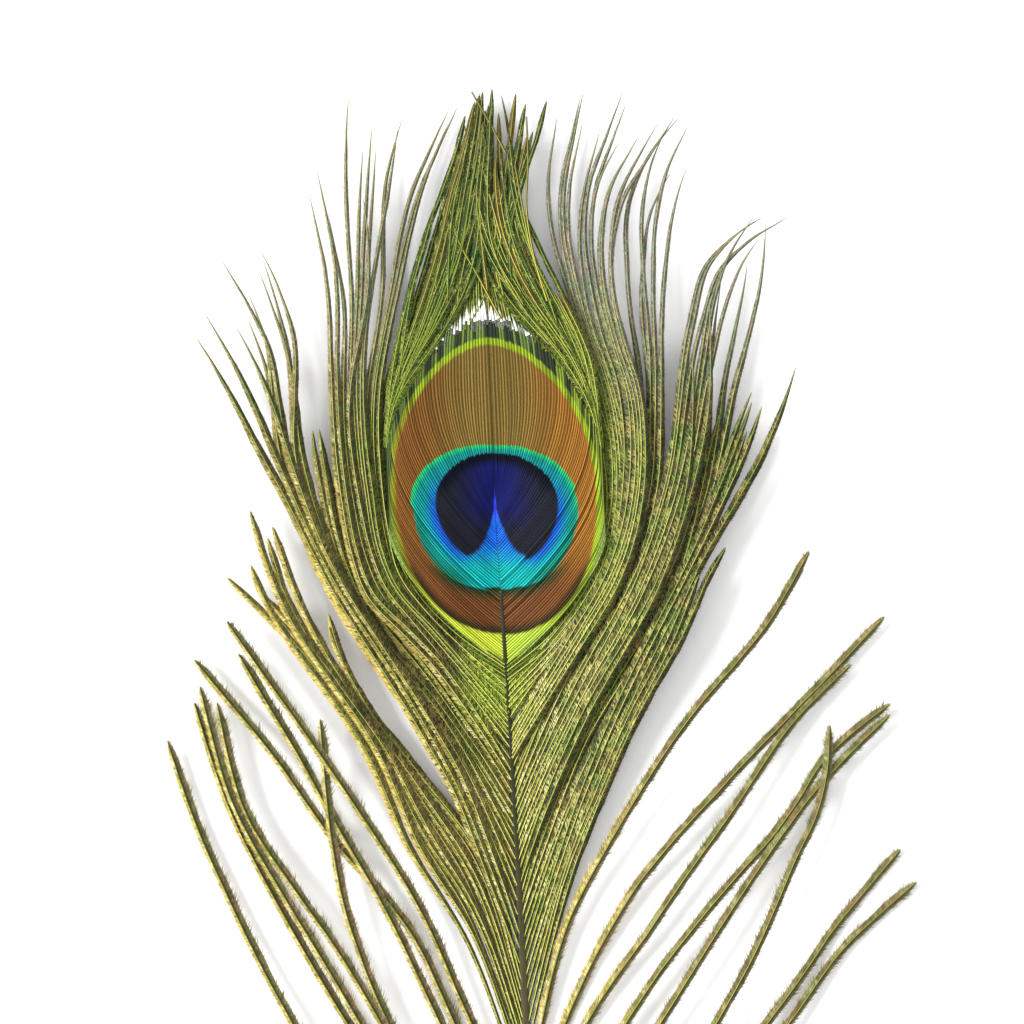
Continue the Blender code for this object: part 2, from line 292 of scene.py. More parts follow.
# %% Read a ribbon's edges
def ribbon_edges(name, count=120):
    """The two long edges of a ribbon from foot to tip, each as count points."""
    places = points_of(name)
    flat, which = np.unique(np.round(places[:, :2], 3), axis=0, return_inverse=True)
    which = which.reshape(-1)
    heights = np.bincount(which, places[:, 2]) / np.bincount(which)
    mesh = nodes[name].data
    mesh.calc_loop_triangles()
    neighbours = {}
    for triangle in mesh.loop_triangles:
        seen = sorted({int(which[corner]) for corner in triangle.vertices})
        if len(seen) == 2:
            neighbours.setdefault(seen[0], set()).add(seen[1])
            neighbours.setdefault(seen[1], set()).add(seen[0])
    loop = [0, min(neighbours[0])]
    while len(loop) < len(flat):
        onward = neighbours[loop[-1]] - {loop[-2]}
        loop.append(onward.pop())
    outline = np.column_stack([flat[loop], heights[loop]])
    middles = 0.5 * (outline + np.roll(outline, -1, axis=0))
    away = np.abs(middles[:, 0] - shaft_x(middles[:, 1])) + np.maximum(middles[:, 1] - TIP_Y, 0.0)
    foot = int(np.argmin(away))
    outline = np.roll(outline, -foot - 1, axis=0)
    half_way = len(outline) // 2
    return resampled(outline[:half_way], count), resampled(outline[half_way:][::-1], count)


def resampled(path, count):
    """A path as count evenly spaced points on a smooth curve through it."""
    steps = np.linalg.norm(np.diff(path, axis=0), axis=1)
    at = np.concatenate([[0.0], np.cumsum(steps)])
    slopes = np.gradient(path, at, axis=0)
    wanted = np.linspace(0.0, at[-1], count)
    k = np.clip(np.searchsorted(at, wanted, side="right") - 1, 0, len(at) - 2)
    span = (at[k + 1] - at[k])[:, None]
    u = (wanted - at[k])[:, None] / span
    return (
        (1 + 2 * u) * (1 - u) ** 2 * path[k]
        + u * (1 - u) ** 2 * span * slopes[k]
        + u * u * (3 - 2 * u) * path[k + 1]
        + u * u * (u - 1) * span * slopes[k + 1]
    )


def smooth(value):
    """0 up to 0, 1 from 1 on, and an even S between them."""
    share = np.clip(value, 0.0, 1.0)
    return share * share * (3.0 - 2.0 * share)


print("lock_left_01 foot", ribbon_edges("lock_left_01")[0][0].round(1))

# %% [markdown]
# A barb is a stiff rib with barbules on both sides. A Sheaf gathers the points of many barbs and
# turns them into one mesh at the end, which is far quicker than one object for each barb. Every
# point also keeps its place on its barb: how far across, how many millimetres along, and a random
# value for the whole barb. The finishes read these. Each barb has its own strip of the UV map,
# so that nothing overlaps when colours are baked.

# %% Gather barbs into one mesh
RIB_SHARE = 0.14  # how far across its strip the rib's edge is, where 1 is the barbules' edge
UP = np.array([0.0, 0.0, 1.0])
LOWEST = MM * cad_low.z + 0.05  # no point lies lower, so that nothing sinks into the table
LANE_MIDDLE, LANE_HALF = 0.55, 0.42  # a barb's upper side within its strip of the map
UNDER_LANE = (0.06, 0.02)  # its underside
MAP_MARGIN = 0.01


def distances(path):
    """How far each point is along the path."""
    return np.concatenate([[0.0], np.cumsum(np.linalg.norm(np.diff(path, axis=0), axis=1))])


class Sheaf:
    """Points, faces and per-point values of many barbs that become one mesh."""

    def __init__(self, strips):
        self.strips = strips
        self.strip = -1
        self.count = 0
        self.points = []
        self.faces = []
        self.values = {"across": [], "run": [], "shade": [], "barb": [], "bare": []}
        self.places = []
        self.maps = []

    def next_barb(self, path, barb_value, shift=(0.0, 0.0, 0.0)):
        """Starts a barb. The shift moves the place that its colours are read from."""
        self.strip += 1
        self.length = distances(path)[-1]
        self.barb_value = barb_value
        self.shift = np.array(shift)

    def add(self, points, faces, across, run, shade=0.5, lane=None, bare=0.0):
        """Adds points with their faces. Lane is the place across the barb's strip of the map."""
        start = self.count
        number = len(points)
        self.count += number
        points = np.array(points)
        points[:, 2] = np.maximum(points[:, 2], LOWEST)
        self.points.append(points)
        self.faces.append(np.asarray(faces) + start)
        across, run = np.broadcast_to(across, number), np.broadcast_to(run, number)
        self.values["across"].append(across)
        self.values["run"].append(run)
        self.values["shade"].append(np.broadcast_to(shade, number))
        self.values["barb"].append(np.full(number, self.barb_value))
        self.values["bare"].append(np.broadcast_to(bare, number))
        self.places.append(points + self.shift)
        if lane is None:
            lane = LANE_MIDDLE + LANE_HALF * np.clip(across, -1.04, 1.04)
        u = MAP_MARGIN + (1.0 - 2.0 * MAP_MARGIN) * np.clip(run / self.length, 0.0, 1.0)
        self.maps.append(np.column_stack([u, (self.strip + lane) / self.strips]))

    def make(self, name, finish):
        """One mesh object from all that was gathered."""
        mesh = bpy.data.meshes.new(name)
        points = np.concatenate(self.points) / MM
        sizes = np.concatenate([np.full(len(some), some.shape[1]) for some in self.faces])
        corners = np.concatenate([some.reshape(-1) for some in self.faces])
        mesh.vertices.add(len(points))
        mesh.vertices.foreach_set("co", points.astype(np.float32).ravel())
        mesh.loops.add(len(corners))
        mesh.loops.foreach_set("vertex_index", corners.astype(np.int32))
        mesh.polygons.add(len(sizes))
        starts = np.concatenate([[0], np.cumsum(sizes)[:-1]]).astype(np.int32)
        mesh.polygons.foreach_set("loop_start", starts)
        mesh.update(calc_edges=True)
        for value_name, parts in self.values.items():
            layer = mesh.attributes.new(value_name, "FLOAT", "POINT")
            layer.data.foreach_set("value", np.concatenate(parts).astype(np.float32))
        layer = mesh.attributes.new("place", "FLOAT_VECTOR", "POINT")
        layer.data.foreach_set("vector", np.concatenate(self.places).astype(np.float32).ravel())
        uv = mesh.uv_layers.new(name="OFBake")
        uv.data.foreach_set("uv", np.concatenate(self.maps)[corners].astype(np.float32).ravel())
        mesh.polygons.foreach_set("use_smooth", np.ones(len(sizes), bool))
        mesh.materials.append(finish.material)
        obj = bpy.data.objects.new(name, mesh)
        bpy.context.scene.collection.objects.link(obj)
        print(name, self.strip + 1, "barbs,", int((sizes - 2).sum()), "triangles")
        return obj


def directions(path):
    """Unit vectors along a path, to its right, and up from it."""
    ahead = np.gradient(path, axis=0)
    ahead /= np.linalg.norm(ahead, axis=1)[:, None]
    right = np.cross(ahead, UP)
    right /= np.linalg.norm(right, axis=1)[:, None]
    return ahead, right, np.cross(right, ahead)


def bands(rows, columns):
    """Quads between neighbouring rows and columns of a grid of points laid out row by row."""
    corner = np.arange((rows - 1) * columns).reshape(rows - 1, columns)[:, :-1].reshape(-1)
    return np.column_stack([corner, corner + 1, corner + columns + 1, corner + columns])


def add_rib(sheaf, path, half_width, bare=0.0):
    """A closed rod with a ridge on top, whose underside has its own lane of the map."""
    count = len(path)
    _, right, up = directions(path)
    wide = half_width[:, None]
    left_edge, right_edge, ridge = path - right * wide, path + right * wide, path + up * wide
    run = distances(path)
    top = np.stack([left_edge, ridge, right_edge], axis=1).reshape(-1, 3)
    across = np.tile([-RIB_SHARE, 0.0, RIB_SHARE], count)
    bare = np.broadcast_to(bare, count)
    sheaf.add(top, bands(count, 3), across, np.repeat(run, 3), bare=np.repeat(bare, 3))
    under = np.stack([right_edge, left_edge], axis=1).reshape(-1, 3)
    lane = np.tile(UNDER_LANE, count)
    sheaf.add(under, bands(count, 2), 0.0, np.repeat(run, 2), lane=lane, bare=np.repeat(bare, 2))


print("sheaf ready")

# %% [markdown]
# Barbules lie side by side, so most of them are modelled together as a web: a thin panel on each
# side of the rib that curves down to its edge. The finish draws the single barbules on it. Over
# the web's edge lie loose ones, each a thin triangle. They lean towards the tip of their barb and
# droop a little, and no two are alike. A slow random curve makes them clump.

# %% Webs and loose barbules
WEB_ROOT = 0.6  # where the web starts, in half widths of the rib
WEB_BENDS = ((0.6, 0.75), (1.0, 1.0))  # how far across, and how steep by then
LOOSE_ROOT = 0.4  # how far across a loose barbule starts
LOOSE_HALF = 0.55  # half its width there, in spacings
LOOSE_LIFT = 0.03
LOST = 0.05  # the share of loose barbules that are missing
LEAN_VARIES, DROOP_VARIES = (7.0, 6.0), (5.0, 5.0)  # degrees, by clump and by barbule
LOOSE_RISE = 3.0  # loose barbules droop a few degrees less than the web
LENGTH, LENGTH_CLUMP, LENGTH_VARIES = 1.04, 0.14, (-0.16, 0.14)


def drift(rng, count, every):
    """A slow random curve with count values from about -1 to 1, that turns every few values."""
    knots = rng.uniform(-1.0, 1.0, max(int(count / every), 1) + 3)
    return np.interp(np.linspace(0.0, len(knots) - 1.0, count), np.arange(len(knots)), knots)


def add_web(sheaf, path, half_width, reaches, droop):
    """A panel on each side of the rib. Reaches are its widths left and right along the path."""
    _, right, up = directions(path)
    run = np.repeat(distances(path), 3)
    slope = math.tan(math.radians(droop))
    for side, reach in zip((-1.0, 1.0), reaches):
        columns = [path + right * (side * WEB_ROOT * half_width)[:, None]]
        for at, fall in WEB_BENDS:
            out = (at * reach)[:, None]
            columns.append(path + right * side * out - up * slope * fall * out)
        across = [side * at for at in (RIB_SHARE, WEB_BENDS[0][0], WEB_BENDS[1][0])]
        if side < 0:
            columns, across = columns[::-1], across[::-1]
        points = np.stack(columns, axis=1).reshape(-1, 3)
        sheaf.add(points, bands(len(path), 3), np.tile(across, len(path)), run)


def add_barbules(sheaf, path, reaches, rng, spacing, lean, droop, ragged=1.0):
    """Loose barbules on both sides, as one thin triangle each. They start partway across."""
    ahead, right, up = directions(path)
    run = distances(path)
    count = max(int(run[-1] / spacing), 2)
    even = (np.arange(count) + 0.5) / count * run[-1]
    root_half = LOOSE_HALF * spacing
    for side, reach in zip((-1.0, 1.0), reaches):
        at = np.clip(even + rng.uniform(-0.4, 0.4, count) * spacing, 0.0, run[-1])

        def there(values):
            return np.stack([np.interp(at, run, values[:, axis]) for axis in range(3)], axis=1)

        centre, forward, out, lift = there(path), there(ahead), there(right) * side, there(up)
        clump = drift(rng, count, 6)
        turn = np.radians(lean + LEAN_VARIES[0] * clump + rng.normal(0.0, LEAN_VARIES[1], count))
        slow = DROOP_VARIES[0] * drift(rng, count, 5)
        quick = rng.normal(0.0, DROOP_VARIES[1], count)
        fall = np.radians(droop + slow + quick - LOOSE_RISE)
        uneven = LENGTH_CLUMP * clump + rng.uniform(*LENGTH_VARIES, count)
        long = np.interp(at, run, reach) * (LENGTH + ragged * uneven) / np.cos(turn)
        kept = rng.random(count) > LOST
        way = out * np.cos(turn)[:, None] + forward * np.sin(turn)[:, None]
        way = way * np.cos(fall)[:, None] - lift * (np.sin(fall) * np.cos(turn))[:, None]
        base = centre + way * (LOOSE_ROOT * long)[:, None] + lift * LOOSE_LIFT
        tilt = rng.uniform(-LOOSE_LIFT, LOOSE_LIFT, count)[:, None]
        thick = forward * root_half + lift * tilt
        points = np.stack([base - thick, centre + way * long[:, None], base + thick], axis=1)
        start, end = at + LOOSE_ROOT * long * np.sin(turn), at + long * np.sin(turn)
        runs = np.stack([start - root_half, end, start + root_half], axis=1)
        if side < 0:
            points, runs = points[:, ::-1], runs[:, ::-1]
        number = int(kept.sum())
        across = np.tile([LOOSE_ROOT * side, 1.02 * side, LOOSE_ROOT * side], number)
        tone = np.repeat((0.5 + 0.2 * clump + rng.uniform(-0.3, 0.3, count))[kept], 3)
        faces = np.arange(3 * number).reshape(-1, 3)
        sheaf.add(points[kept].reshape(-1, 3), faces, across, runs[kept].reshape(-1), tone)


print("barbules ready")

# %% [markdown]
# The shaft is pale horn at the quill, where a hollow shows at the cut, and dark where the vane
# begins. It is remade from the solid's rings with rounded sections and closer stations, and a
# shallow groove runs along its back. A loop over sections is enough, because a shaft is one
# outline that is carried along a line and changes slowly.

# %% Shaft
SHAFT_SIDES = 20
SHAFT_STEPS = 220
HOLE_WIDTH, HOLE_DEPTH = 1.3, 7.0
FLAT_BELOW = -0.94  # the underside is flat from here down, where -1 is a full round
GROOVE_DEPTH, GROOVE_WIDTH = 0.10, 0.25
QUILL_END = ring_y[0]


def shaft_section(y, scale):
    """A rounded section, flat below, round the shaft's middle."""
    turn = np.linspace(0.0, 2.0 * math.pi, SHAFT_SIDES, endpoint=False) - 0.5 * math.pi
    wide = 0.5 * shaft_width(y) * scale
    tall = 0.5 * np.interp(y, ring_y, ring_height)
    floor = np.interp(y, ring_y, ring_floor)
    x = shaft_x(y) + wide * np.cos(turn)
    z = floor + tall + tall * scale * np.maximum(np.sin(turn), FLAT_BELOW)
    on_back = np.exp(-((np.cos(turn) / GROOVE_WIDTH) ** 2)) * (np.sin(turn) > 0)
    groove = GROOVE_DEPTH * tall * scale * on_back
    return np.column_stack([x, np.full(SHAFT_SIDES, y), z - groove])


def make_shaft(name, finish):
    """A closed rod that starts at the bottom of its hole and ends at the tip."""
    hole_scale = HOLE_WIDTH / shaft_width(QUILL_END)
    stations = np.linspace(QUILL_END, TIP_Y, SHAFT_STEPS)
    sections = [shaft_section(y, hole_scale) for y in (QUILL_END + HOLE_DEPTH, QUILL_END)]
    sections += [shaft_section(y, 1.0) for y in stations]
    points = np.concatenate(sections) / MM
    count = len(sections)
    faces = []
    for row in range(count - 1):
        for k in range(SHAFT_SIDES):
            after = (k + 1) % SHAFT_SIDES
            here, there = row * SHAFT_SIDES, (row + 1) * SHAFT_SIDES
            faces.append((here + k, here + after, there + after, there + k))
    faces.append(tuple(range(SHAFT_SIDES))[::-1])
    faces.append(tuple(range((count - 1) * SHAFT_SIDES, count * SHAFT_SIDES)))
    mesh = bpy.data.meshes.new(name)
    mesh.from_pydata(points.tolist(), [], faces)
    mesh.shade_smooth()
    mesh.set_sharp_from_angle(angle=math.radians(50))
    mesh.materials.append(finish.material)
    obj = bpy.data.objects.new(name, mesh)
    bpy.context.scene.collection.objects.link(obj)
    print(name, len(faces), "faces")
    return obj


print("shaft from", round(QUILL_END, 1), "to", round(TIP_Y, 1), "mm")

# %% [markdown]
# The horn's colour follows the height up the shaft: pale at the quill, brown and then nearly black
# between the barbs, and blue where the thin tip runs into the eye. A noise stretched along the
# shaft gives the grain, and also feeds a small bump, so that the lamp finds fine lines in it.

# %% Horn
horn = Finish("shaft_horn", Roughness=0.5, Specular_IOR_Level=0.3)
place = horn.node("ShaderNodeTexCoord", {}, {}, "Object")
up_shaft = horn.parts(place)[1] * MM
stretched = horn.node("ShaderNodeMapping", {}, {"Vector": place, "Scale": (2600.0, 160.0, 2600.0)})
grain = horn.noise(stretched, 1.0, 3.0)
pale = horn.mix(grain, paint(206, 190, 150), paint(168, 142, 96))
brown = horn.mix(grain, paint(52, 48, 28), paint(96, 84, 48))
dark = horn.mix(grain, paint(20, 26, 12), paint(50, 52, 24))
colour = horn.mix(up_shaft.step(-16.0, 34.0), pale, brown)
colour = horn.mix(up_shaft.step(60.0, 120.0), colour, dark)
turquoise = horn.mix(grain, paint(20, 110, 116), paint(70, 170, 160))
colour = horn.mix(up_shaft.step(150.0, 152.0), colour, turquoise)
colour = horn.mix(up_shaft.step(157.0, 161.0), colour, paint(34, 70, 170))
horn.feed(horn.shader.inputs["Base Color"], colour)
horn.feed(horn.shader.inputs["Roughness"], 0.45 + grain * 0.24)
bump = horn.node("ShaderNodeBump", {}, {"Strength": 0.35, "Distance": 0.0001, "Height": grain})
horn.feed(horn.shader.inputs["Normal"], bump)

shaft = make_shaft("shaft_horn_rod", horn)
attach(shaft, "root")
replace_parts(shaft, "shaft")

# %% [markdown]
# In the eye the barbs leave the shaft at about 45 degrees and turn to run straight up. Barbs that
# start near the shaft's tip stay near the middle, and the lower ones reach further out, until the
# lowest ones crowd together along the rim. One formula gives every barb's course: its reach and
# its first slope grow with its distance below the tip. Above the rim all barbs lean together.

# %% Courses of the eye's barbs
EYE_X = 0.5 * MM * (eye_low[0] + eye_high[0])
EYE_Y = 0.5 * MM * (eye_low[1] + eye_high[1])
AXIS_LEAN = 0.045
REACH, REACH_SOON = 19.9, 6.66  # the furthest reach, and the drop over which it is neared
SLOPE, SLOPE_SOON, SLOPE_LEAST = 1.1, 5.2, 0.12  # the same for the first slope
BEND_DROP, BEND = (11.0, 31.0), (2.0, 1.5)  # how roundly a barb turns up
LEAVES_ASIDE, LEAVES_ABOVE = 6.0, 8.0  # within these a barb still follows the shaft's line
BESIDE = 0.08
GATHER_Y = (190.0, 196.0, 200.0, 204.4, 213.7)
GATHER = (1.0, 0.96, 0.88, 0.78, 0.55)  # how far the barbs draw together at those heights
OVAL_HEIGHT = EYE_Y + 1.4
OVAL = (19.05, 28.7, 24.05)  # half width, and height above and below its widest place
EGG = 1.7  # 2 is an ellipse, less is more pointed
FIRST_DROP, LAST_DROP = 0.14, 31.5
DROP_STEP, DROP_STEP_MORE, DROP_WIDENS = 0.22, 0.36, 10.0


def middle_line(y):
    """The eye's own axis, which leans a little."""
    return EYE_X - AXIS_LEAN * (y - EYE_Y)


def course_x(side, drop, y):
    """Where a barb that starts drop mm below the shaft's tip stands sideways at height y."""
    reach = REACH * (1.0 - math.exp(-drop / REACH_SOON))
    slope = SLOPE * (1.0 - math.exp(-drop / SLOPE_SOON)) + SLOPE_LEAST
    bend = np.interp(drop, BEND_DROP, BEND)
    u = np.clip((y - (TIP_Y - drop)) / (bend * reach / slope), 0.0, 1.0)
    away = reach * (1.0 - (1.0 - u) ** bend) * np.interp(y, GATHER_Y, GATHER)
    leaves = smooth(away / LEAVES_ASIDE + (y - TIP_Y) / LEAVES_ABOVE)
    centre = shaft_x(y) + (middle_line(y) - shaft_x(y)) * leaves
    return centre + side * (away + BESIDE)


def oval_radius(x, y):
    """1 on the rim of the bronze oval, less inside it."""
    dy = y - OVAL_HEIGHT
    tall = np.where(dy > 0, OVAL[1], OVAL[2])
    return np.sqrt(np.abs((x - middle_line(y)) / OVAL[0]) ** EGG + (dy / tall) ** 2)


VANE_PARTS = (*EYE_PARTS, "crown_left", "crown_right")
height_knots = np.concatenate([points_of(name) for name in VANE_PARTS])


def vane_height(x, y, spread=3.0):
    """The solid model's height near a place, as a smooth mean of its points."""
    away = (x[:, None] - height_knots[:, 0]) ** 2 + (y[:, None] - height_knots[:, 1]) ** 2
    weight = np.exp(-0.5 * away / spread**2) + 1e-9
    return weight @ height_knots[:, 2] / weight.sum(axis=1)


eye_drops = [FIRST_DROP]
spacing_rng = np.random.default_rng(39)
while eye_drops[-1] < LAST_DROP:
    step = DROP_STEP + DROP_STEP_MORE * smooth(eye_drops[-1] / DROP_WIDENS)
    eye_drops.append(eye_drops[-1] + step * spacing_rng.uniform(0.8, 1.2))
print(len(eye_drops) - 1, "barbs on each side of the eye")

# %% [markdown]
# The eye's colours come from the fine structure of its barbules, not from pigment, and they form
# nested rings: a near-black violet heart, blue, turquoise, a thin green line, bronze, and a lime
# rim. Each ring is an oval measured from the eye's middle, written as shader arithmetic. Each
# barb carries its own small shift, which makes the ring edges step from barb to barb. The ovals
# come first, with the notch that cuts into the heart from below.

# %% Rings of the eye
iridescent = Finish("eye_iridescent", Metallic=0.2, Roughness=0.6, Specular_IOR_Level=0.1)
place = iridescent.read("place", "Vector")
x, y, _ = iridescent.parts(place)
y = y - EYE_Y
x = x - EYE_X + y * AXIS_LEAN
across = iridescent.read("across")
own = iridescent.read("barb")
run = iridescent.read("run")
slanted = {0: (run - across.size() * 0.45) * 5.0, 1: across * 1.2, 2: own * 60.0}
hair = iridescent.noise(iridescent.node("ShaderNodeCombineXYZ", {}, slanted), 1.0, 2.0)
speckle = iridescent.noise(place, 3.2, 3.0)
grain = iridescent.noise(place, 5.5, 2.0)
# Masks for the painted highlight on each rib and the painted shade in the crease between barbs
rib = 1 - across.size().step(0.1, 0.34)
crease_shade = across.size().step(0.4, 0.95)


def oval(middle_x, middle_y, half_width, above, below, egg=2.0):
    """A radius that is 1 on an oval's edge."""
    side = ((x - middle_x) / half_width).size() ** egg
    rise = (y - middle_y).at_least(0.0) / above
    fall = (y - middle_y).at_most(0.0) / below
    return (side + rise * rise + fall * fall) ** 0.5


bronze_ring = oval(0.0, 1.4, *OVAL, y.step(0.0, -9.0) * 0.5 + EGG)
blue_ring = oval(-0.28, 0.5, 15.54, 11.1, 15.2, 2.3)
heart_ring = oval(0.1, 0.87, 11.3, 9.25, 11.6)
down = (-0.3 - y).at_least(0.0) / 8.6
notch_width = down * 2.2 + down * down * 0.9 + down**8.0 * 1.6 + y.step(5.2, 0.0) * 0.2 + 0.02
notch = 1 - ((x + 0.25).size() / notch_width).step(0.8, 1.25)
heart = (1 - heart_ring.step(0.975, 1.02)) * (1 - notch)
print("rings of the eye:", len(iridescent.tree.nodes), "nodes")

# %% [markdown]
# The bronze turns redder towards both sides and darker at the foot. Round it runs the lime rim: a
# thin bright line at the top, and a wide V at the foot. Past the rim lies a fringe that is
# dark green above and streaked below, and above the eye it ends at the pale crescent.

# %% Bronze, rim and fringe
bronze = iridescent.mix(x.step(3.0, 15.0), paint(128, 106, 50), paint(156, 106, 40))
bronze = iridescent.mix(x.step(-3.0, -15.0), bronze, paint(126, 83, 37))
bronze = iridescent.mix(y.step(-4.0, -16.0), bronze, paint(118, 73, 39))
low_rim_shade = bronze_ring.step(0.9, 0.985) * y.step(-6.0, -14.0)
bronze = iridescent.mix(low_rim_shade, bronze, paint(62, 50, 26))
low_lime = iridescent.mix(x.step(-3.0, 3.0), paint(208, 222, 70), paint(180, 206, 70))
lime = iridescent.mix(y.step(-8.0, -24.0), paint(150, 176, 40), low_lime)
lime = iridescent.mix(own.step(0.6, 0.1) * x.size().step(8.0, 15.0) * 0.7, lime, paint(72, 84, 30))
lime = iridescent.mix(x.step(-12.0, -17.0) * 0.7, lime, paint(120, 106, 32))
fringe = iridescent.mix(own.step(0.35, 0.65), paint(54, 64, 48), paint(104, 128, 60))
side_light = iridescent.mix(x.step(-6.0, -13.0), paint(124, 142, 46), paint(86, 104, 48))
side_fringe = iridescent.mix(own.step(0.35, 0.65), paint(40, 56, 40), side_light)
low_fringe = iridescent.mix(hair.step(0.35, 0.65), paint(92, 122, 50), paint(164, 186, 90))
fringe = iridescent.mix(x.size().step(9.0, 14.0), fringe, side_fringe)
fringe = iridescent.mix(y.step(0.0, -8.0), fringe, low_fringe)
rim_end = (1 - x.size() / 14.0).at_least(0.0) ** 3.0 * 0.255 + 1.042
past_rim = (bronze_ring - rim_end).step(-0.015, 0.015)
past_top = bronze_ring.step(1.035, 1.05) * y.step(4.0, 9.0)
outside = iridescent.mix(past_top.at_least(past_rim), lime, fringe)
colour = iridescent.mix(bronze_ring.step(0.985, 1.01), bronze, outside)
print("bronze and rim:", len(iridescent.tree.nodes), "nodes")

# %% [markdown]
# Inside the bronze lies the blue ring. It is turquoise outside, azure next to the heart, and green
# where it meets the bronze. Through the notch the blue runs up into the heart, and turns violet.

# %% Blue ring and notch
deep_green = blue_ring.step(1.17, 1.0) * y.step(-8.0, -12.5)
colour = iridescent.mix(deep_green, colour, paint(34, 62, 36))
azure = heart_ring.step(1.24, 1.0) * y.step(9.0, -3.0) * y.step(-13.5, -9.0)
ring = iridescent.mix(y.step(2.0, -12.0), paint(18, 140, 136), paint(20, 172, 168))
low_ring = blue_ring.step(0.82, 0.97) * y.step(1.0, -4.0)
ring = iridescent.mix(low_ring, ring, paint(18, 122, 100))
blues = iridescent.mix(azure, ring, paint(24, 86, 200))
inside_notch = heart_ring.step(1.0, 0.9)
blues = iridescent.mix(inside_notch, blues, paint(30, 104, 216))
blues = iridescent.mix(inside_notch * y.step(-3.0, 0.0), blues, paint(44, 60, 204))
blues = iridescent.mix(y.step(-6.0, -12.0) * x.size().step(9.0, 3.5), blues, paint(20, 182, 178))
blues = iridescent.mix(blue_ring.step(0.9, 0.98) * y.step(-3.0, 4.0), blues, paint(34, 184, 108))
colour = iridescent.mix(1 - blue_ring.step(0.985, 1.01), colour, blues)
print("blue ring:", len(iridescent.tree.nodes), "nodes")

# %% [markdown]
# The heart is nearly black, and its middle is indigo. Last, painted light and shade are laid over
# all rings for every barb: a painted highlight on the rib, painted shade in the crease between
# neighbours, and fine barbules. In the heart this painted relief is almost gone, as it is on
# velvet.

# %% Heart and painted relief
indigo = x.size().step(9.0, 1.0) * y.step(-5.5, 1.0)
violet = iridescent.mix(indigo, paint(34, 36, 46), paint(24, 28, 102))
violet = iridescent.mix(heart_ring.step(0.7, 0.92) * y.step(1.0, 5.0), violet, paint(8, 12, 28))
colour = iridescent.mix(heart, colour, violet)

# Painted light and shade: lighter ribs and darker creases, nearly flat in the heart, with grain
flat = 1 - heart * 0.72
painted_relief = (rib * 0.5 - crease_shade * (0.25 + own * 0.4)) * flat + 0.74
light = painted_relief * (0.35 + hair * 0.5 + grain * 0.8) * (0.78 + own * 0.44)
iridescent.feed(iridescent.shader.inputs["Base Color"], iridescent.scaled(colour, light * 0.98))
iridescent.feed(iridescent.shader.inputs["Roughness"], 0.5 + speckle * 0.2)
print("eye finish:", len(iridescent.tree.nodes), "nodes")

# %% [markdown]
# Each half of the eye is one piece. A barb is a thin rib with a web on both sides that reaches
# just past halfway to its neighbours, and inner barbs lie slightly over the outer ones. Past the
# rim every web and rib ends at its own height, which makes the ragged fringe round the eye's top.
# First come the functions that say where a barb runs and where it ends.

# %% Where a barb of the eye runs and ends
WEB_END = 1.125  # in radii of the bronze oval
FRINGE_END = 1.16
SOONER_ASIDE = 0.07  # how much sooner the fringe ends at the eye's sides
ASIDE_FROM, ASIDE_WITHIN = 6.0, 11.0  # mm from the eye's axis
UPPER_FROM = 5.0  # a barb ends only where it is this much above the oval's widest place
STATION = 0.45
EYE_TOP = 201.0
RISE_OVER = 15.0  # a barb climbs from the shaft to the vane's height over so many mm
FROM_BACK = 17.0  # barbs with a smaller drop leave the shaft's back, not its side


def barb_rows(side, drop):
    """The course of one barb as points, from the shaft up past the rim."""
    y = np.arange(TIP_Y - drop, EYE_TOP, STATION)
    x = course_x(side, drop, y)
    away = np.abs(x - shaft_x(y))
    rise = smooth(np.hypot(away, y - y[0]) / RISE_OVER)
    back = 0.5 * np.interp(y, ring_y, ring_height) if drop < FROM_BACK else 0.0
    root = shaft_side(np.minimum(y, TIP_Y)) + BESIDE + back
    return np.column_stack([x, y, root + (vane_height(x, y) - root) * rise])


def fringe_reach(path):
    """Up to which station a barb's web and its fringe go."""
    from_axis = np.abs(path[:, 0] - middle_line(path[:, 1]))
    aside = smooth((from_axis - ASIDE_FROM) / ASIDE_WITHIN)
    radius = oval_radius(path[:, 0], path[:, 1]) + SOONER_ASIDE * aside
    upper = path[:, 1] > OVAL_HEIGHT + UPPER_FROM
    web = np.flatnonzero(upper & (radius > WEB_END))
    loose = np.flatnonzero(upper & (radius > FRINGE_END))
    return (web[0] if len(web) else len(path)), (loose[0] if len(loose) else len(path))


print("a barb's web and fringe end at stations", fringe_reach(barb_rows(1.0, LAST_DROP / 2)))

# %% [markdown]
# On a real feather the barbs of the eye have slipped over each other in a few places. At such a
# fold the barbs beyond it lie a little lower and their rings are shifted, so the colours jump.
# The barb just past a fold gets painted shade, and the barb just before it a painted highlight.

# %% Halves of the eye
OVERLAP = 0.56  # how far a web reaches towards the next rib, as a share of the gap
WEB_LEAST, WEB_MOST = 0.2, 0.6
EYE_RIB_RISE, EYE_RIB_Y, EYE_RIB = 12.0, 200.0, (0.09, 0.10, 0.07)  # half widths up the barb
EYE_DROOP = 13.0
BARB_LIFT, LIFT_OVER = 0.017, 6.0  # inner barbs lie this much higher, one after the other
FOLDS = {-1.0: (18.5,), 1.0: (15.2, 19.7, 21.4)}  # drops at which the barbs beyond lie lower
FOLD_SLIP = {-1.0: (0.55, 0.7), 1.0: (0.22, 0.28)}  # out and up
FOLD_LIFT = 0.16
# Barb values that give painted shade just past a fold and a painted highlight just before it
FOLD_SHADE_VALUE, FOLD_HIGHLIGHT_VALUE = -0.7, 1.25  # values of the barbs beside a fold
CRESCENT_X, CRESCENT_HALF = -9.7, 9.2  # the pale gap over the eye's top
HEADING_STATIONS = 8  # the crown's strands carry on in the direction of the last stations


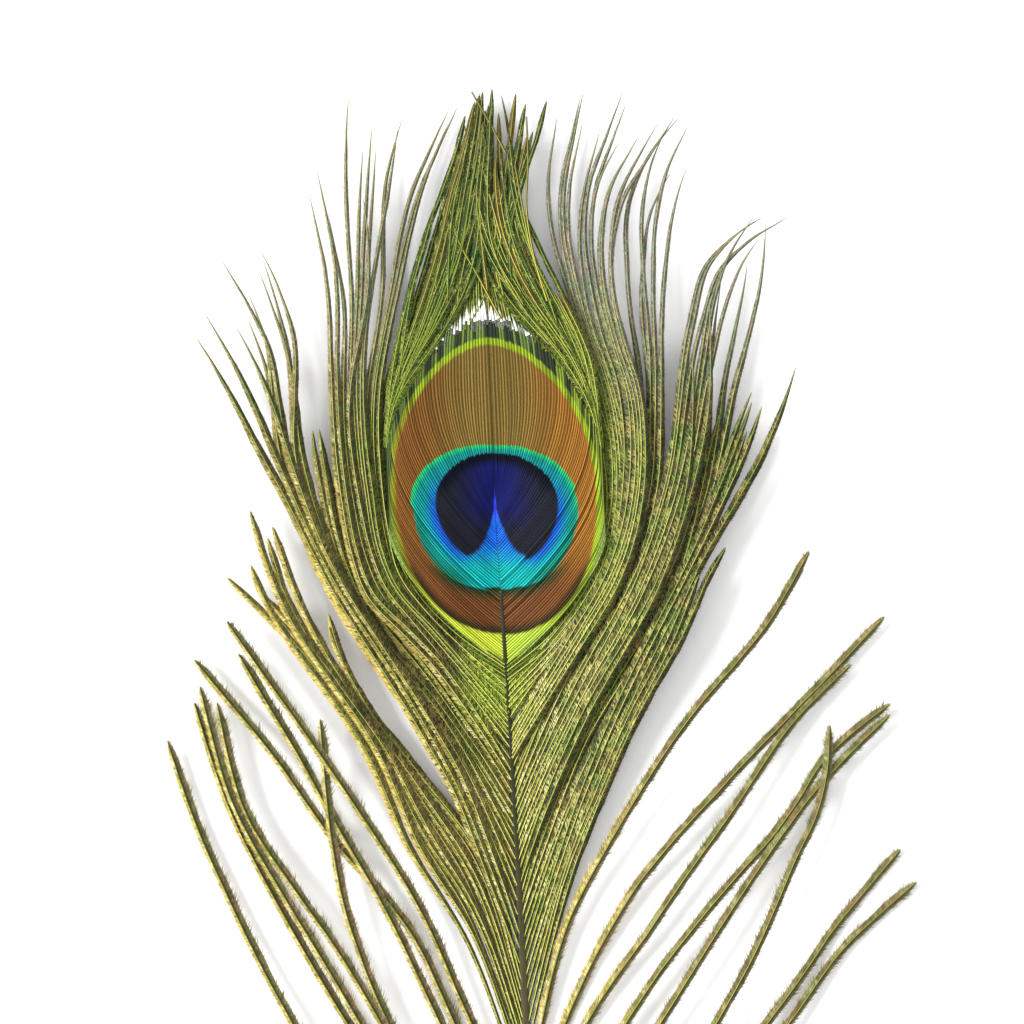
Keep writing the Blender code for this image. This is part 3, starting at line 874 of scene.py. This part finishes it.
def half_of_eye(side, name):
    """One half of the eye, and where each of its barbs ends."""
    rng = np.random.default_rng(40 + int(side))
    sheaf = Sheaf(len(eye_drops) - 1)
    ends = []
    folds = np.array(FOLDS[side])
    depth = [int((drop > folds).sum()) for drop in eye_drops] + [len(folds)]
    for k, drop in enumerate(eye_drops[:-1]):
        path = barb_rows(side, drop)
        lift = BARB_LIFT * (len(eye_drops) - k) + FOLD_LIFT * (len(folds) - depth[k])
        path[:, 2] += lift * smooth(distances(path) / LIFT_OVER)
        web_end, loose_end = fringe_reach(path)
        loose_end = min(loose_end + int(rng.integers(-1, 3)), len(path))
        web_end = max(web_end + int(rng.integers(-2, 2)), 4)
        at_crescent = abs(path[loose_end - 1, 0] - CRESCENT_X) < CRESCENT_HALF
        web_end = web_end if at_crescent else loose_end
        y = path[:, 1]
        within = course_x(side, eye_drops[k - 1], y) if k else course_x(-side, drop, y)
        beyond = course_x(side, eye_drops[k + 1], y)
        flat = np.gradient(path[:, :2], axis=0)
        steep = np.abs(flat[:, 1]) / np.linalg.norm(flat, axis=1)
        inner = np.clip(OVERLAP * np.abs(path[:, 0] - within) * steep, WEB_LEAST, WEB_MOST)
        outer = np.clip(OVERLAP * np.abs(beyond - path[:, 0]) * steep, WEB_LEAST, WEB_MOST)
        reaches = (outer, inner) if side < 0 else (inner, outer)
        half_width = np.interp(y, (y[0], y[0] + EYE_RIB_RISE, EYE_RIB_Y), EYE_RIB)
        slip_out, slip_up = FOLD_SLIP[side]
        shift = (side * slip_out * depth[k], slip_up * depth[k] + rng.uniform(-0.16, 0.16), 0.0)
        value = rng.random()
        # The barb just past a fold gets painted shade, and the one just before it a painted
        # highlight
        value = FOLD_SHADE_VALUE if k and depth[k] > depth[k - 1] else value
        value = FOLD_HIGHLIGHT_VALUE if depth[k + 1] > depth[k] else value
        sheaf.next_barb(path[:loose_end], value, shift)
        add_rib(sheaf, path[:loose_end], half_width[:loose_end])
        webbed = slice(0, web_end)
        reaches = [reach[webbed] for reach in reaches]
        add_web(sheaf, path[webbed], half_width[webbed], reaches, EYE_DROOP)
        before = path[max(loose_end - HEADING_STATIONS, 0)]
        ends.append((side, k, path[loose_end - 1], before))
    piece = sheaf.make(name, iridescent)
    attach(piece, "root")
    return piece, ends


left_half, left_ends = half_of_eye(-1.0, "eye_left_vane")
right_half, right_ends = half_of_eye(1.0, "eye_right_vane")
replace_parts(left_half, "eye_left")
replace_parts(right_half, "eye_right")

# %% [markdown]
# Loose barbs are coloured by their barbules. A barbule runs outwards and forwards, so the
# distance along the barb less a part of the distance across it is the same all along a barbule.
# Noise over that value draws fine streaks in the barbules' own direction. Slower noise over the
# feather makes patches, and noise along each barb makes painted glints and painted shade in the
# gaps of its fringe. The rib has two colours: painted light on its lit slope and painted shade on
# the other.

# %% Streaks of loose barbs
class BarbFinish(Finish):
    """A finish that already holds what every loose barb's colour is made from."""

    def __init__(self, name, slant, **constants):
        super().__init__(name, **constants)
        self.place = self.read("place", "Vector")
        self.x, self.y, _ = self.parts(self.place)
        self.across = self.read("across")
        tone = self.read("shade")
        self.own = self.read("barb")
        size = self.across.size()
        run = (self.read("run") - size * slant) * 5.0
        streaks = {0: run, 1: self.across * 1.3, 2: self.own * 60.0}
        self.hair = self.noise(self.node("ShaderNodeCombineXYZ", {}, streaks), 1.0, 3.0)
        self.streak = (self.hair + (tone - 0.5) * 0.5).step(0.4, 0.64)
        self.on_rib = 1 - size.step(RIB_SHARE * 0.9, RIB_SHARE * 1.3)
        self.edge = size.step(0.7, 1.02)
        self.patch = self.noise(self.place, 0.24, 2.0).step(0.36, 0.64)
        # Noise along each barb gives painted glints where clumps shine and painted shade in the
        # gaps
        stretch = {0: self.read("run") * 0.42, 1: self.across * 0.8, 2: self.own * 40.0}
        clump = self.noise(self.node("ShaderNodeCombineXYZ", {}, stretch), 1.0, 2.0)
        self.glint = clump.step(0.5, 0.62)
        self.gap = clump.step(0.5, 0.38)
        self.bare = self.read("bare")

    def finish(self, hairs, lit, shaded):
        """Sets the base colour from the barbules' colour and the rib's painted lit and shaded
        slopes.
        """
        # The rib's left slope gets painted light and its right slope painted shade
        rib = self.mix(self.across.step(-0.03, 0.03), lit, shaded)
        colour = self.scaled(self.mix(self.on_rib, hairs, rib), 0.8 + self.hair * 0.4)
        self.feed(self.shader.inputs["Base Color"], colour)
        self.feed(self.shader.inputs["Roughness"], 0.45 + self.hair * 0.25)
        print(self.material.name, len(self.tree.nodes), "nodes")


print("what loose barbs share is ready")

# %% [markdown]
# The crown and the shoulders beside the eye are green, with a lime shine low down and straw at the
# tips. Just over the rim a real strand is so thin that the table shows between the hairs. These
# hairs are thicker, so they are painted as white as the table instead. A little emission keeps
# them white in the shade of the crown.

# %% Green of the crown
green = BarbFinish("crown_green", 0.6, Metallic=0.1, Specular_IOR_Level=0.2, Emission_Strength=0.3)
near = green.y.step(212.0, 190.0)
brown_left = green.x.step(-10.0, -18.0) * green.y.step(206.0, 214.0)
brown_strand = green.own.step(0.7, 0.95) * green.y.step(196.0, 206.0)
dark = green.mix(green.patch, paint(14, 34, 16), paint(46, 36, 22))
dark = green.mix(brown_left, dark, paint(40, 40, 24))
# Painted glints brighten the pale barbules
pale = green.mix(green.glint, paint(66, 102, 38), paint(174, 184, 88))
pale = green.mix(near * 0.6, pale, paint(158, 180, 52))
hairs = green.mix(green.streak * 0.8, dark, pale)
hairs = green.mix(brown_strand * 0.55, hairs, paint(112, 84, 34))
# The rib's lit slope gets painted light, and its other slope painted shade; bare hairs are white
lit = green.mix(green.own, paint(150, 180, 54), paint(226, 218, 96))
lit = green.mix(green.x.step(-6.0, -16.0) * 0.45, lit, paint(98, 138, 44))
lit = green.mix(green.own.step(0.3, 0.1), lit, paint(104, 118, 46))
lit = green.mix(green.y.step(214.0, 234.0), lit, paint(170, 158, 84))
lit = green.mix(green.bare, lit, paint(250, 250, 246))
shaded = green.mix(green.bare, paint(44, 72, 24), paint(244, 244, 240))
glow = green.mix(green.bare, paint(0, 0, 0), paint(250, 250, 250))
green.feed(green.shader.inputs["Emission Color"], glow)
green.finish(hairs, lit, shaded)

# %% [markdown]
# The locks change over the feather: green beside the eye, greyer towards their tips, and golden
# low down and on the left. So the masks come first, each a soft step over the feather's own
# millimetres, and the colours are then mixed by name. The barbules to the left of a rib get a
# painted sparkle, as if they caught the lamp, and the ones to its right get painted shade.

# %% Gold and green of the locks
gold = BarbFinish("lock_gold_green", 1.0, Metallic=0.1, Specular_IOR_Level=0.2)
left_side = gold.x.step(12.0, -24.0)
right_side = gold.x.step(-2.0, 14.0)
high = gold.y.step(176.0, 208.0)
low = gold.y.step(174.0, 126.0) * (0.1 + left_side * 0.9)
low = low.at_least(gold.x.step(-24.0, -40.0) * gold.y.step(184.0, 150.0) * 0.8)
low_left = gold.y.step(126.0, 108.0) * gold.x.step(0.0, -10.0)
far_left = gold.x.step(-28.0, -46.0) * gold.y.step(188.0, 160.0)
sparse = gold.y.step(112.0, 92.0)
from_eye = (gold.x - EYE_X).size()
below_eye = from_eye.step(9.0, 2.0) * gold.y.step(122.0, 132.0)
near_rim = from_eye.step(25.0, 20.0) * gold.y.step(140.0, 152.0) * gold.y.step(212.0, 196.0)
beside_eye = gold.x.step(-36.0, -30.0) * gold.x.step(-10.0, -16.0) * gold.y.step(132.0, 142.0)

dark = gold.mix(gold.patch, paint(24, 34, 16), paint(48, 36, 20))
dark = gold.mix(high, dark, gold.mix(gold.patch, paint(62, 70, 58), paint(88, 74, 62)))
dark = gold.mix(low_left * 0.75, dark, paint(88, 76, 46))
dark = gold.mix(far_left * 0.6, dark, paint(94, 82, 50))
green_pale = gold.mix(gold.patch, paint(112, 134, 58), paint(150, 142, 78))
gold_pale = gold.mix(gold.patch, paint(200, 188, 88), paint(246, 220, 118))
gold_pale = gold.mix(right_side * 0.7, gold_pale, paint(190, 178, 78))
grey_pale = gold.mix(gold.patch, paint(150, 160, 142), paint(172, 162, 150))
pale = gold.mix(low, gold.mix(high, green_pale, grey_pale), gold_pale)
# The colour of the painted glints
spark = gold.mix(right_side, paint(252, 240, 186), paint(222, 208, 120))
print("masks and colours of the locks:", len(gold.tree.nodes), "nodes")

# %% [markdown]
# The masks then decide how much of each colour a barbule gets. Streaks choose between dark and
# pale, painted glints brighten the lit side, painted shade darkens the gaps and the unlit side, and
# a painted cream highlight lies on the lit edges on the left. A few last tints stand for single
# places: the green under the eye, the lime beside its rim, and the dark line along the ribs.

# %% Barbules and ribs of the locks
# Painted glints lie on the lit side, left of each rib, strongest low down and on the left
light_side = gold.across.step(0.0, -0.2) * gold.across.step(-1.0, -0.6)
sparks = 0.3 + gold.y.step(170.0, 140.0) * 0.3 + left_side * 0.3 - high * 0.2
hairs = gold.mix(gold.streak, dark, gold.mix(gold.glint * light_side * sparks, pale, spark))
# Painted shade in the gaps between clumps of barbules
hairs = gold.mix(gold.gap * (0.6 - high * 0.3), hairs, dark)
# The right side of each barb, away from the lamp, gets painted shade
hairs = gold.mix(gold.across.step(0.0, 0.6) * (0.75 - high * 0.45), hairs, dark)
# A painted cream highlight on the lit left edges of barbs on the feather's left
cream_highlight = gold.across.step(-0.1, -0.7) * gold.x.step(-12.0, -26.0) * gold.hair.step(0.34, 0.5)
cream_highlight = cream_highlight * (0.25 + gold.y.step(176.0, 140.0) * 0.5)
hairs = gold.mix(cream_highlight, hairs, paint(236, 208, 112))
hairs = gold.mix(gold.edge * 0.25, hairs, paint(134, 112, 80))
hairs = gold.mix(gold.edge * right_side * 0.45, hairs, paint(52, 50, 30))
# In the low locks the right side of each barb gets painted shade as well
hairs = gold.mix(sparse * gold.across.step(-0.4, 0.4) * 0.5, hairs, paint(44, 50, 24))
hairs = gold.mix(below_eye, hairs, gold.mix(gold.streak, paint(50, 74, 22), paint(192, 208, 74)))
hairs = gold.mix(near_rim * gold.streak * 0.4, hairs, paint(152, 178, 50))
mid_line = gold.across.size().step(0.5, 0.2) * gold.x.step(-6.0, -16.0)
hairs = gold.mix(mid_line * 0.5, hairs, paint(50, 66, 26))
hairs = gold.mix(beside_eye * 0.3, hairs, dark)
# The rib's lit slope gets painted light, and its other slope painted shade
lit = gold.mix(gold.own, paint(164, 188, 62), paint(224, 218, 112))
lit = gold.mix(high * 0.6, lit, paint(168, 166, 116))
gold.finish(hairs, lit, paint(32, 58, 18))

# %% [markdown]
# A herl shows three bands side by side: barbules left of the rib with painted light, a dark line
# along it, and duller barbules to its right with painted shade, with paler tips that turn rosy low
# on the feather. The right herls lie in the lamp's light at another angle, so their painted light
# is weaker.

# %% Straw of the herls
straw = BarbFinish("herl_straw", 1.0, Metallic=0.1, Specular_IOR_Level=0.2)
right_side = straw.x.step(6.0, 26.0)
# The lit side of a herl carries painted light, and the right herls get less of it
lit_side = straw.mix(straw.patch, paint(214, 200, 92), paint(240, 216, 118))
right_lit_side = straw.mix(straw.patch, paint(134, 136, 76), paint(154, 130, 86))
lit_side = straw.mix(right_side, lit_side, right_lit_side)
# Painted glints on the lit side
lit_side = straw.mix(straw.glint * (1 - right_side * 0.6) * 0.5, lit_side, paint(250, 236, 180))
# The unlit side: olive and brown with painted shade, and pale down near its edge
unlit_side = straw.mix(straw.patch, paint(110, 114, 62), paint(138, 112, 74))
unlit_side = straw.mix(right_side * 0.7, unlit_side, paint(92, 84, 60))
rosy = straw.patch * straw.y.step(122.0, 96.0)
downy = straw.mix(rosy, paint(152, 154, 116), paint(182, 148, 126))
unlit_side = straw.mix(straw.across.step(0.4, 0.75) * (1 - right_side * 0.5) * 0.8, unlit_side, downy)
hairs = straw.mix(straw.across.step(-0.1, 0.4), lit_side, unlit_side)
hairs = straw.mix((1 - straw.streak) * 0.7, hairs, paint(62, 66, 34))
# Painted shade in the gaps between clumps of barbules
hairs = straw.mix(straw.gap * 0.35, hairs, paint(60, 52, 34))
tips = straw.mix(right_side, paint(212, 188, 116), paint(178, 176, 124))
blush = straw.across.step(0.0, -0.3) * straw.y.step(112.0, 92.0)
tips = straw.mix(blush * 0.7, tips, paint(198, 158, 134))
hairs = straw.mix(straw.edge * 0.6, hairs, tips)
mid_line = straw.across.step(-0.34, -0.14) * straw.across.step(0.5, 0.24)
hairs = straw.mix(mid_line * 0.9, hairs, paint(40, 54, 24))
# The rib's lit slope gets painted light, and its other slope painted shade
lit = straw.mix(right_side, paint(130, 128, 60), paint(208, 196, 84))
straw.finish(hairs, lit, paint(34, 42, 18))

# %% [markdown]
# Above the fringe the eye's barbs run on as a crown of strands. They draw together, cross, and end
# at different heights, and some lean over to a second, smaller point. A strand starts where its
# barb ended, in the same direction, and is then eased towards its place in the crown.

# %% Courses of the crown's strands
CROWN_Y = (178.0, 190.0, 196.0, 204.4, 213.7, 222.9, 232.2, 243.0)
CROWN_MIDDLE = (-8.0, -8.2, -8.5, -9.7, -10.7, -10.9, -9.7, -8.9)
CROWN_HALF = (19.8, 18.6, 17.0, 13.8, 9.9, 6.9, 4.6, 3.0)
CROWN_TOP, ENDS_BELOW, ENDS_CROWD = 243.2, 26.0, 1.3  # where strands end, and how many near the top
CROWN_STATION = 0.8
EVEN_SHARE, CROSSED = 0.75, 0.34  # how far a strand keeps its place, and how much it strays
CROSS_WITHIN = 40.0
TURN_WITHIN = 10.0
TUFT_X = (8.0, 6.0, 4.0, 1.4, -3.2, -4.4, -2.4, 0.3)  # a second, smaller point to the right
TUFT_SHARE, TUFT_FROM, TUFT_WITHIN, TUFT_OPENS = 0.2, 206.0, 20.0, 222.0
STRAND_LIFT, STRAND_VARIES, STRAND_RISE = 0.4, (-0.2, 1.1), 8.0


def softened(values, count):
    """The mean of each value and its neighbours, with the first and last kept in place."""
    ends = np.linspace(values[0], values[-1], len(values))
    padded = np.pad(values - ends, count // 2, mode="reflect", reflect_type="odd")
    return ends + np.convolve(padded, np.full(count, 1.0 / count), mode="valid")


def crown_course(side, number, start, before, rng):
    """The course of one strand from the fringe to its tip."""
    top = CROWN_TOP - ENDS_BELOW * rng.random() ** ENDS_CROWD
    y = np.arange(start[1], top, CROWN_STATION)
    middle, half = np.interp(y, CROWN_Y, CROWN_MIDDLE), np.interp(y, CROWN_Y, CROWN_HALF)
    started = (start[0] - middle[0]) / half[0]
    even = side * (number + 0.5) / len(eye_drops) + rng.normal(0.0, 0.05)
    crossed = np.clip(EVEN_SHARE * even + rng.normal(-0.08 * side, CROSSED), -1.05, 1.1)
    wanted = middle + half * (started + (crossed - started) * smooth((y - y[0]) / CROSS_WITHIN))
    if even > 0.05 and rng.random() < 2.0 * TUFT_SHARE:
        opens = 1.0 + 1.3 * smooth((y - TUFT_OPENS) / TUFT_WITHIN)
        tuft = np.interp(y, CROWN_Y, TUFT_X) + rng.normal(0.0, 0.8) * opens
        wanted = wanted + (tuft - wanted) * smooth((y - TUFT_FROM) / TUFT_WITHIN)
    slope = (start[0] - before[0]) / (start[1] - before[1])
    straight = start[0] + slope * (y - y[0])
    x = softened(straight + (wanted - straight) * smooth((y - y[0]) / TURN_WITHIN), 15)
    x = x + 0.2 * drift(rng, len(y), 12) * smooth((y - y[0]) / 12.0)
    varies = rng.uniform(*STRAND_VARIES) * smooth((y - start[1]) / STRAND_RISE)
    z = vane_height(x, y) + STRAND_LIFT + varies
    z[0] = start[2]
    return np.column_stack([x, y, z])


print("strands join the crown within", TURN_WITHIN, "mm and cross within", CROSS_WITHIN, "mm")

# %% [markdown]
# Each strand starts as a bare hair, and short barbules dress it from the pale crescent's upper edge
# on. That edge is an arch, highest in the middle. The strand's tip tapers over the last few
# millimetres, and one strand in four ends early, just above the crescent.

# %% Crown
CRESCENT_TOP, CRESCENT_SLOPE = 203.0, 0.7
BARE_RIB, DRESSED_RIB = 0.2, 0.088
CROWN_REACH = 0.5
CROWN_SPACING, CROWN_LEAN, CROWN_DROOP, CROWN_WEB_DROOP = 0.3, 58.0, 28.0, 30.0
SHORT_EVERY, SHORT_END = 4, 3.0  # one strand in so many ends just above the crescent
DRESS_OVER, TAPER_OVER = 1.4, 4.0


def make_crown(ends, name, seed):
    """The strands that carry on from the barb ends of one half of the eye, as one piece."""
    rng = np.random.default_rng(seed)
    sheaf = Sheaf(len(ends))
    for side, number, start, before in ends:
        path = crown_course(side, number, start, before, rng)
        if number % SHORT_EVERY == 1:
            path = path[path[:, 1] < max(start[1], CRESCENT_TOP) + SHORT_END]
        y = path[:, 1]
        from_middle = np.abs(path[:, 0] - CRESCENT_X)
        bare_top = CRESCENT_TOP - CRESCENT_SLOPE * from_middle
        bare_top = np.where(from_middle[0] < CRESCENT_HALF, bare_top, 0.0)
        dressed = smooth((y - bare_top - rng.uniform(-1.0, 1.0)) / DRESS_OVER)
        left = np.minimum((y[-1] - y) / TAPER_OVER, 1.0) ** 0.7
        half_width = (BARE_RIB + (DRESSED_RIB - BARE_RIB) * dressed) * (0.35 + 0.65 * left)
        sheaf.next_barb(path, rng.random())
        add_rib(sheaf, path, half_width, 1.0 - dressed)
        some = slice(int(np.argmax(dressed > 0.25)), len(y))
        reach = CROWN_REACH * dressed[some] * (0.2 + 0.8 * left[some])
        reach = reach * (1.0 + 0.15 * drift(rng, len(reach), 4))
        reaches = (reach, reach)
        add_web(sheaf, path[some], half_width[some], reaches, CROWN_WEB_DROOP)
        add_barbules(sheaf, path[some], reaches, rng, CROWN_SPACING, CROWN_LEAN, CROWN_DROOP)
    piece = sheaf.make(name, green)
    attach(piece, "root")
    return piece


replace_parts(make_crown(left_ends, "crown_left_strands", 371), "crown_left")
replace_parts(make_crown(right_ends, "crown_right_strands", 372), "crown_right")

# %% [markdown]
# A few single barbs strayed from their sheaf and cross the others. Their courses are drawn from
# listed points, in the model's millimetres, because no rule gives them.

# %% Stray strands
STRAY_COURSES = (
    ((1.9, 204.0), (0.3, 209.0), (-0.9, 214.0), (-1.9, 221.0), (-1.6, 230.0), (-1.9, 238.0)),
    ((1.0, 207.0), (-1.2, 214.0), (-2.4, 220.0), (-4.0, 229.0)),
    ((-6.6, 200.7), (-10.5, 208.0), (-14.9, 216.4), (-16.2, 222.0)),
    ((-6.5, 215.6), (-8.0, 221.0), (-10.4, 230.3)),
    ((-5.7, 231.3), (-8.5, 236.5), (-12.0, 242.6)),
)
STRAY_LIFT = 1.3
STRAY_VALUE = 0.9  # its random value, which makes it a bright straw
STRAY_RIB, STRAY_TAPER = 0.13, 0.07
STRAY_REACH, STRAY_DROOP = 0.28, 25.0


def make_strays():
    """All stray strands as one piece."""
    sheaf = Sheaf(len(STRAY_COURSES))
    for course in STRAY_COURSES:
        knots = np.column_stack([course, np.zeros(len(course))])
        path = resampled(knots, 50)
        path[:, 2] = vane_height(path[:, 0], path[:, 1]) + STRAY_LIFT
        share = np.linspace(0.0, 1.0, len(path))
        half_width = STRAY_RIB - STRAY_TAPER * share
        reach = STRAY_REACH * (1.0 - 0.4 * share)
        sheaf.next_barb(path, STRAY_VALUE)
        add_rib(sheaf, path, half_width)
        add_web(sheaf, path, half_width, (reach, reach), STRAY_DROOP)
    piece = sheaf.make("crown_stray_strands", green)
    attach(piece, "root")
    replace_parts(piece, "crown_stray")


make_strays()

# %% [markdown]
# Every lock is a sheaf of barbs that cling together, and a herl is one barb, or two high up, with
# its whole fringe. First comes the number of barbs in each ribbon, from its width. Their roots are
# spaced evenly down the shaft, so each ribbon's barbs share the stretch between the feet of its
# neighbours.

# %% Roots along the shaft
BARBS_AT_WIDTH = (2.4, 2.8, 3.2, 3.6), (2.0, 3.0, 4.0, 5.0)
FEW_BELOW, FEW = 124.0, 0.68  # barbs rooted lower are broader and fewer


def barb_number(name):
    """How many barbs a ribbon holds, from its width halfway along."""
    first, second = ribbon_edges(name)
    foot = 0.5 * (first[0, 1] + second[0, 1])
    if "herl" in name:
        return 2 if foot > FEW_BELOW else 1
    width = np.linalg.norm(first[60] - second[60])
    return int(round(np.interp(width, *BARBS_AT_WIDTH) * (FEW if foot < FEW_BELOW else 1.0)))


def root_rows(side_name):
    """For each ribbon of one side, the heights at which its barbs leave the shaft."""
    ours = [name for name in nodes if side_name in name.split("_")]
    ours = [name for name in ours if name.split("_")[0] in ("lock", "herl", "shoulder")]
    feet = {name: np.mean([edge[0][1] for edge in ribbon_edges(name)]) for name in ours}
    order = sorted(ours, key=lambda name: -feet[name])
    heights = np.array([feet[name] for name in order])
    between = 0.5 * (heights[1:] + heights[:-1])
    upper = np.concatenate([[heights[0] + 1.0], between])
    lower = np.concatenate([between, [heights[-1] - 2.0]])
    rows = {}
    for name, high, low in zip(order, upper, lower):
        number = barb_number(name)
        even = (np.arange(number) + 0.5) / number
        rows[name] = high + (low - high) * even
    return rows


root_heights = {**root_rows("left"), **root_rows("right")}
print(sum(len(rows) for rows in root_heights.values()), "barbs in", len(root_heights), "ribbons")

# %% [markdown]
# From its root a barb climbs to its own line between the ribbon's edges, wanders a little, and
# parts from the others near the tip. Real barbs run along the shaft before they leave it, so the
# roots are set a few millimetres down. Some sheaves lie closer together than their solids do, and
# MOVED says how far each of those is carried sideways.

# %% Courses of the barbs in a ribbon
ROOT_CLIMB = 28.0
ROOT_OUT, ROOT_UP = 0.2, 0.2  # a root's place on the shaft's side, in shaft widths and mm
ROOT_SINK_Y = (0.0, 40.0, 80.0, 120.0, 132.0, 139.5)
ROOT_SINK = (0.4, 4.5, 8.5, 9.5, 6.4, 2.6)
WANDER, SPLAY_FROM = 0.3, 0.58
SPLAY_TIP_Y, SPLAY, TAPER = (172.0, 205.0), (2.0, 3.2), (4.0, 15.0)
BARB_STEP_UP = 0.07  # each barb of a ribbon lies this much over the next
MOVED_Y = (100.0, 108.0, 114.0, 120.0, 128.0, 136.0, 144.0, 152.0, 167.0, 185.0, 196.0)
MOVED = {  # sideways, at the heights above, to where the barbs lie inside their sheaf
    "lock_left_08": (0.0, 0.3, 0.6, 1.0, 1.4, 1.6, 1.2, 0.9, 0.6, 0.3, 0.0),
    "lock_left_09": (0.0, 0.2, 0.8, 2.0, 2.9, 3.4, 2.5, 1.9, 1.4, 0.8, 0.0),
    "lock_left_10": (0.0, -0.8, -1.5, -1.8, -1.0, 0.0, 0.0, 0.0, 0.0, 0.0, 0.0),
    "lock_left_11": (0.0, 0.4, 0.8, 1.2, 1.4, 1.2, 0.6, 0.0, 0.0, 0.0, 0.0),
    "lock_left_12": (0.0, 0.8, 2.8, 4.2, 4.4, 3.0, 1.4, 0.4, 0.0, 0.0, 0.0),
    "lock_left_13": (0.0, 1.2, 4.0, 5.6, 5.6, 3.8, 1.8, 0.4, 0.0, 0.0, 0.0),
    "lock_right_11": (0.0, -0.3, -0.6, -1.2, -1.8, -1.8, -1.8, -1.6, -1.2, -0.4, 0.0),
}


def ribbon_courses(name, roots, rng):
    """The courses of the barbs in one ribbon, from the shaft to their tips."""
    side = -1.0 if "left" in name else 1.0
    first, second = ribbon_edges(name)
    splay = np.interp(first[-1, 1], SPLAY_TIP_Y, SPLAY)
    upper, lower = (first, second) if first[0, 1] > second[0, 1] else (second, first)
    count = len(upper)
    number = len(roots)
    share = np.linspace(0.0, 1.0, count)
    length = distances(0.5 * (upper + lower))[-1]
    longest = int(rng.integers(0, number))
    courses = []
    for k, root_y in enumerate(roots):
        even = (k + 0.5) / number
        wander = WANDER / number * drift(rng, count, 34) * smooth(share * 6.0)
        at = np.clip(even + wander, 0.02, 0.98)[:, None]
        path = upper * (1.0 - at) + lower * at
        outward = directions(path)[1] * side
        apart = splay * (2.0 * even - 1.0) + 0.5 * splay * rng.normal() if number > 1 else 0.0
        opened = smooth((share - SPLAY_FROM) / (1.0 - SPLAY_FROM)) ** 1.3
        path = path + outward * (apart * opened)[:, None]
        if name in MOVED:
            path[:, 0] += softened(np.interp(path[:, 1], MOVED_Y, MOVED[name]), 25)
        root_y = root_y - np.interp(root_y, ROOT_SINK_Y, ROOT_SINK)
        root_x = shaft_x(root_y) + side * ROOT_OUT * shaft_width(root_y)
        root = np.array([root_x, root_y, shaft_side(root_y) + ROOT_UP])
        close = ((1.0 - np.minimum(share * length / ROOT_CLIMB, 1.0)) ** 2.0)[:, None]
        path = path + (root - path[0]) * close
        path[:, 2] += BARB_STEP_UP * (k if side > 0 else number - k)
        end = count if k == longest else int(count * (1.0 - rng.uniform(0.0, 0.1)))
        courses.append(path[:end])
    return courses


# %% [markdown]
# Now each ribbon is dressed. Barbules are shorter near the shaft and near the tip. A herl's
# fringe is long and ragged, and longer on one side of its rib than on the other. In the low locks
# it is short, so that the barbs stand apart. Herls that reach up among the locks look like them.

# %% Locks, herls and shoulders
HERL_TOP = 175.0  # a herl whose tip is higher is dressed as a lock
RIB_ROOT, RIB_TIP = 0.13, 0.05
HERL_SIDES = {-1.0: (0.74, 1.34), 1.0: (1.15, 0.95)}  # shares of the reach, left and right
NARROW_TIP = 0.25
SPARSE_Y, SPARSE = (60.0, 88.0, 112.0), (0.38, 0.5, 1.0)  # low locks lie open
LOCK_REACH, HERL_REACH, SHOULDER_REACH = 1.12, 1.26, 0.64
LOCK_FRINGE, HERL_FRINGE = (0.8, 0.2, 1.3), (0.62, 0.17, 1.5)  # web's share, spacing, raggedness
WEB_DROOP, BARBULE_LEAN, BARBULE_DROOP = 30.0, 46.0, 28.0
FULL_AFTER = 14.0  # mm from the root at which barbules have their full length
HIGH_Y, HIGH_OVER, HIGH_LOSS = 165.0, 40.0, 0.5  # locks thin out towards the top
NARROW_OVER = 30.0


def dress_ribbon(name, seed):
    """One ribbon's barbs as a piece, with the fringe and finish of its kind."""
    rng = np.random.default_rng(seed)
    kind = name.split("_")[0]
    courses = ribbon_courses(name, root_heights[name], rng)
    if kind == "herl" and courses[0][-1, 1] > HERL_TOP:
        kind = "lock"
    widest = {"lock": LOCK_REACH, "herl": HERL_REACH, "shoulder": SHOULDER_REACH}[kind]
    sheaf = Sheaf(len(courses))
    for path in courses:
        run = distances(path)
        left = run[-1] - run
        shape = 0.6 + 0.4 * smooth(run / FULL_AFTER)
        taper = TAPER[0] if kind == "herl" else np.interp(path[-1, 1], SPLAY_TIP_Y, TAPER)
        shape = shape * (0.1 + 0.9 * np.minimum(left / taper, 1.0) ** (0.5 + 0.02 * taper))
        if kind == "lock":
            shape = shape * (1.0 - HIGH_LOSS * smooth((path[:, 1] - HIGH_Y) / HIGH_OVER))
            shape = shape * (1.0 - NARROW_TIP * smooth(1.0 - left / NARROW_OVER))
            shape = shape * np.interp(path[:, 1], SPARSE_Y, SPARSE)
        uneven = [1.0 + 0.12 * drift(rng, len(run), 3) for _ in range(2)]
        sides = HERL_SIDES[np.sign(path[-1, 0])] if kind == "herl" else (1.0, 1.0)
        reaches = [widest * shape * wave * share for wave, share in zip(uneven, sides)]
        half_width = RIB_ROOT + (RIB_TIP - RIB_ROOT) * run / run[-1]
        sheaf.next_barb(path, rng.random())
        add_rib(sheaf, path, half_width)
        web, spacing, ragged = HERL_FRINGE if kind == "herl" else LOCK_FRINGE
        add_web(sheaf, path, half_width, [web * reach for reach in reaches], WEB_DROOP)
        fringe_ways = (BARBULE_LEAN, BARBULE_DROOP, ragged)
        add_barbules(sheaf, path, reaches, rng, spacing, *fringe_ways)
    piece = sheaf.make(name + "_barbs", {"shoulder": green, "lock": gold, "herl": straw}[kind])
    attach(piece, "root")
    "crown_barbs" if kind == "shoulder" else "herl_barbs"
    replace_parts(piece, name)


for number, name in enumerate(sorted(root_heights)):
    dress_ribbon(name, 200 + number)


# %% [markdown]
# Last, the solid model's box, read straight after loading, is printed.

# %% Print the solid box
print("solid box", [round(MM * v, 1) for v in (*cad_low, *cad_high)])
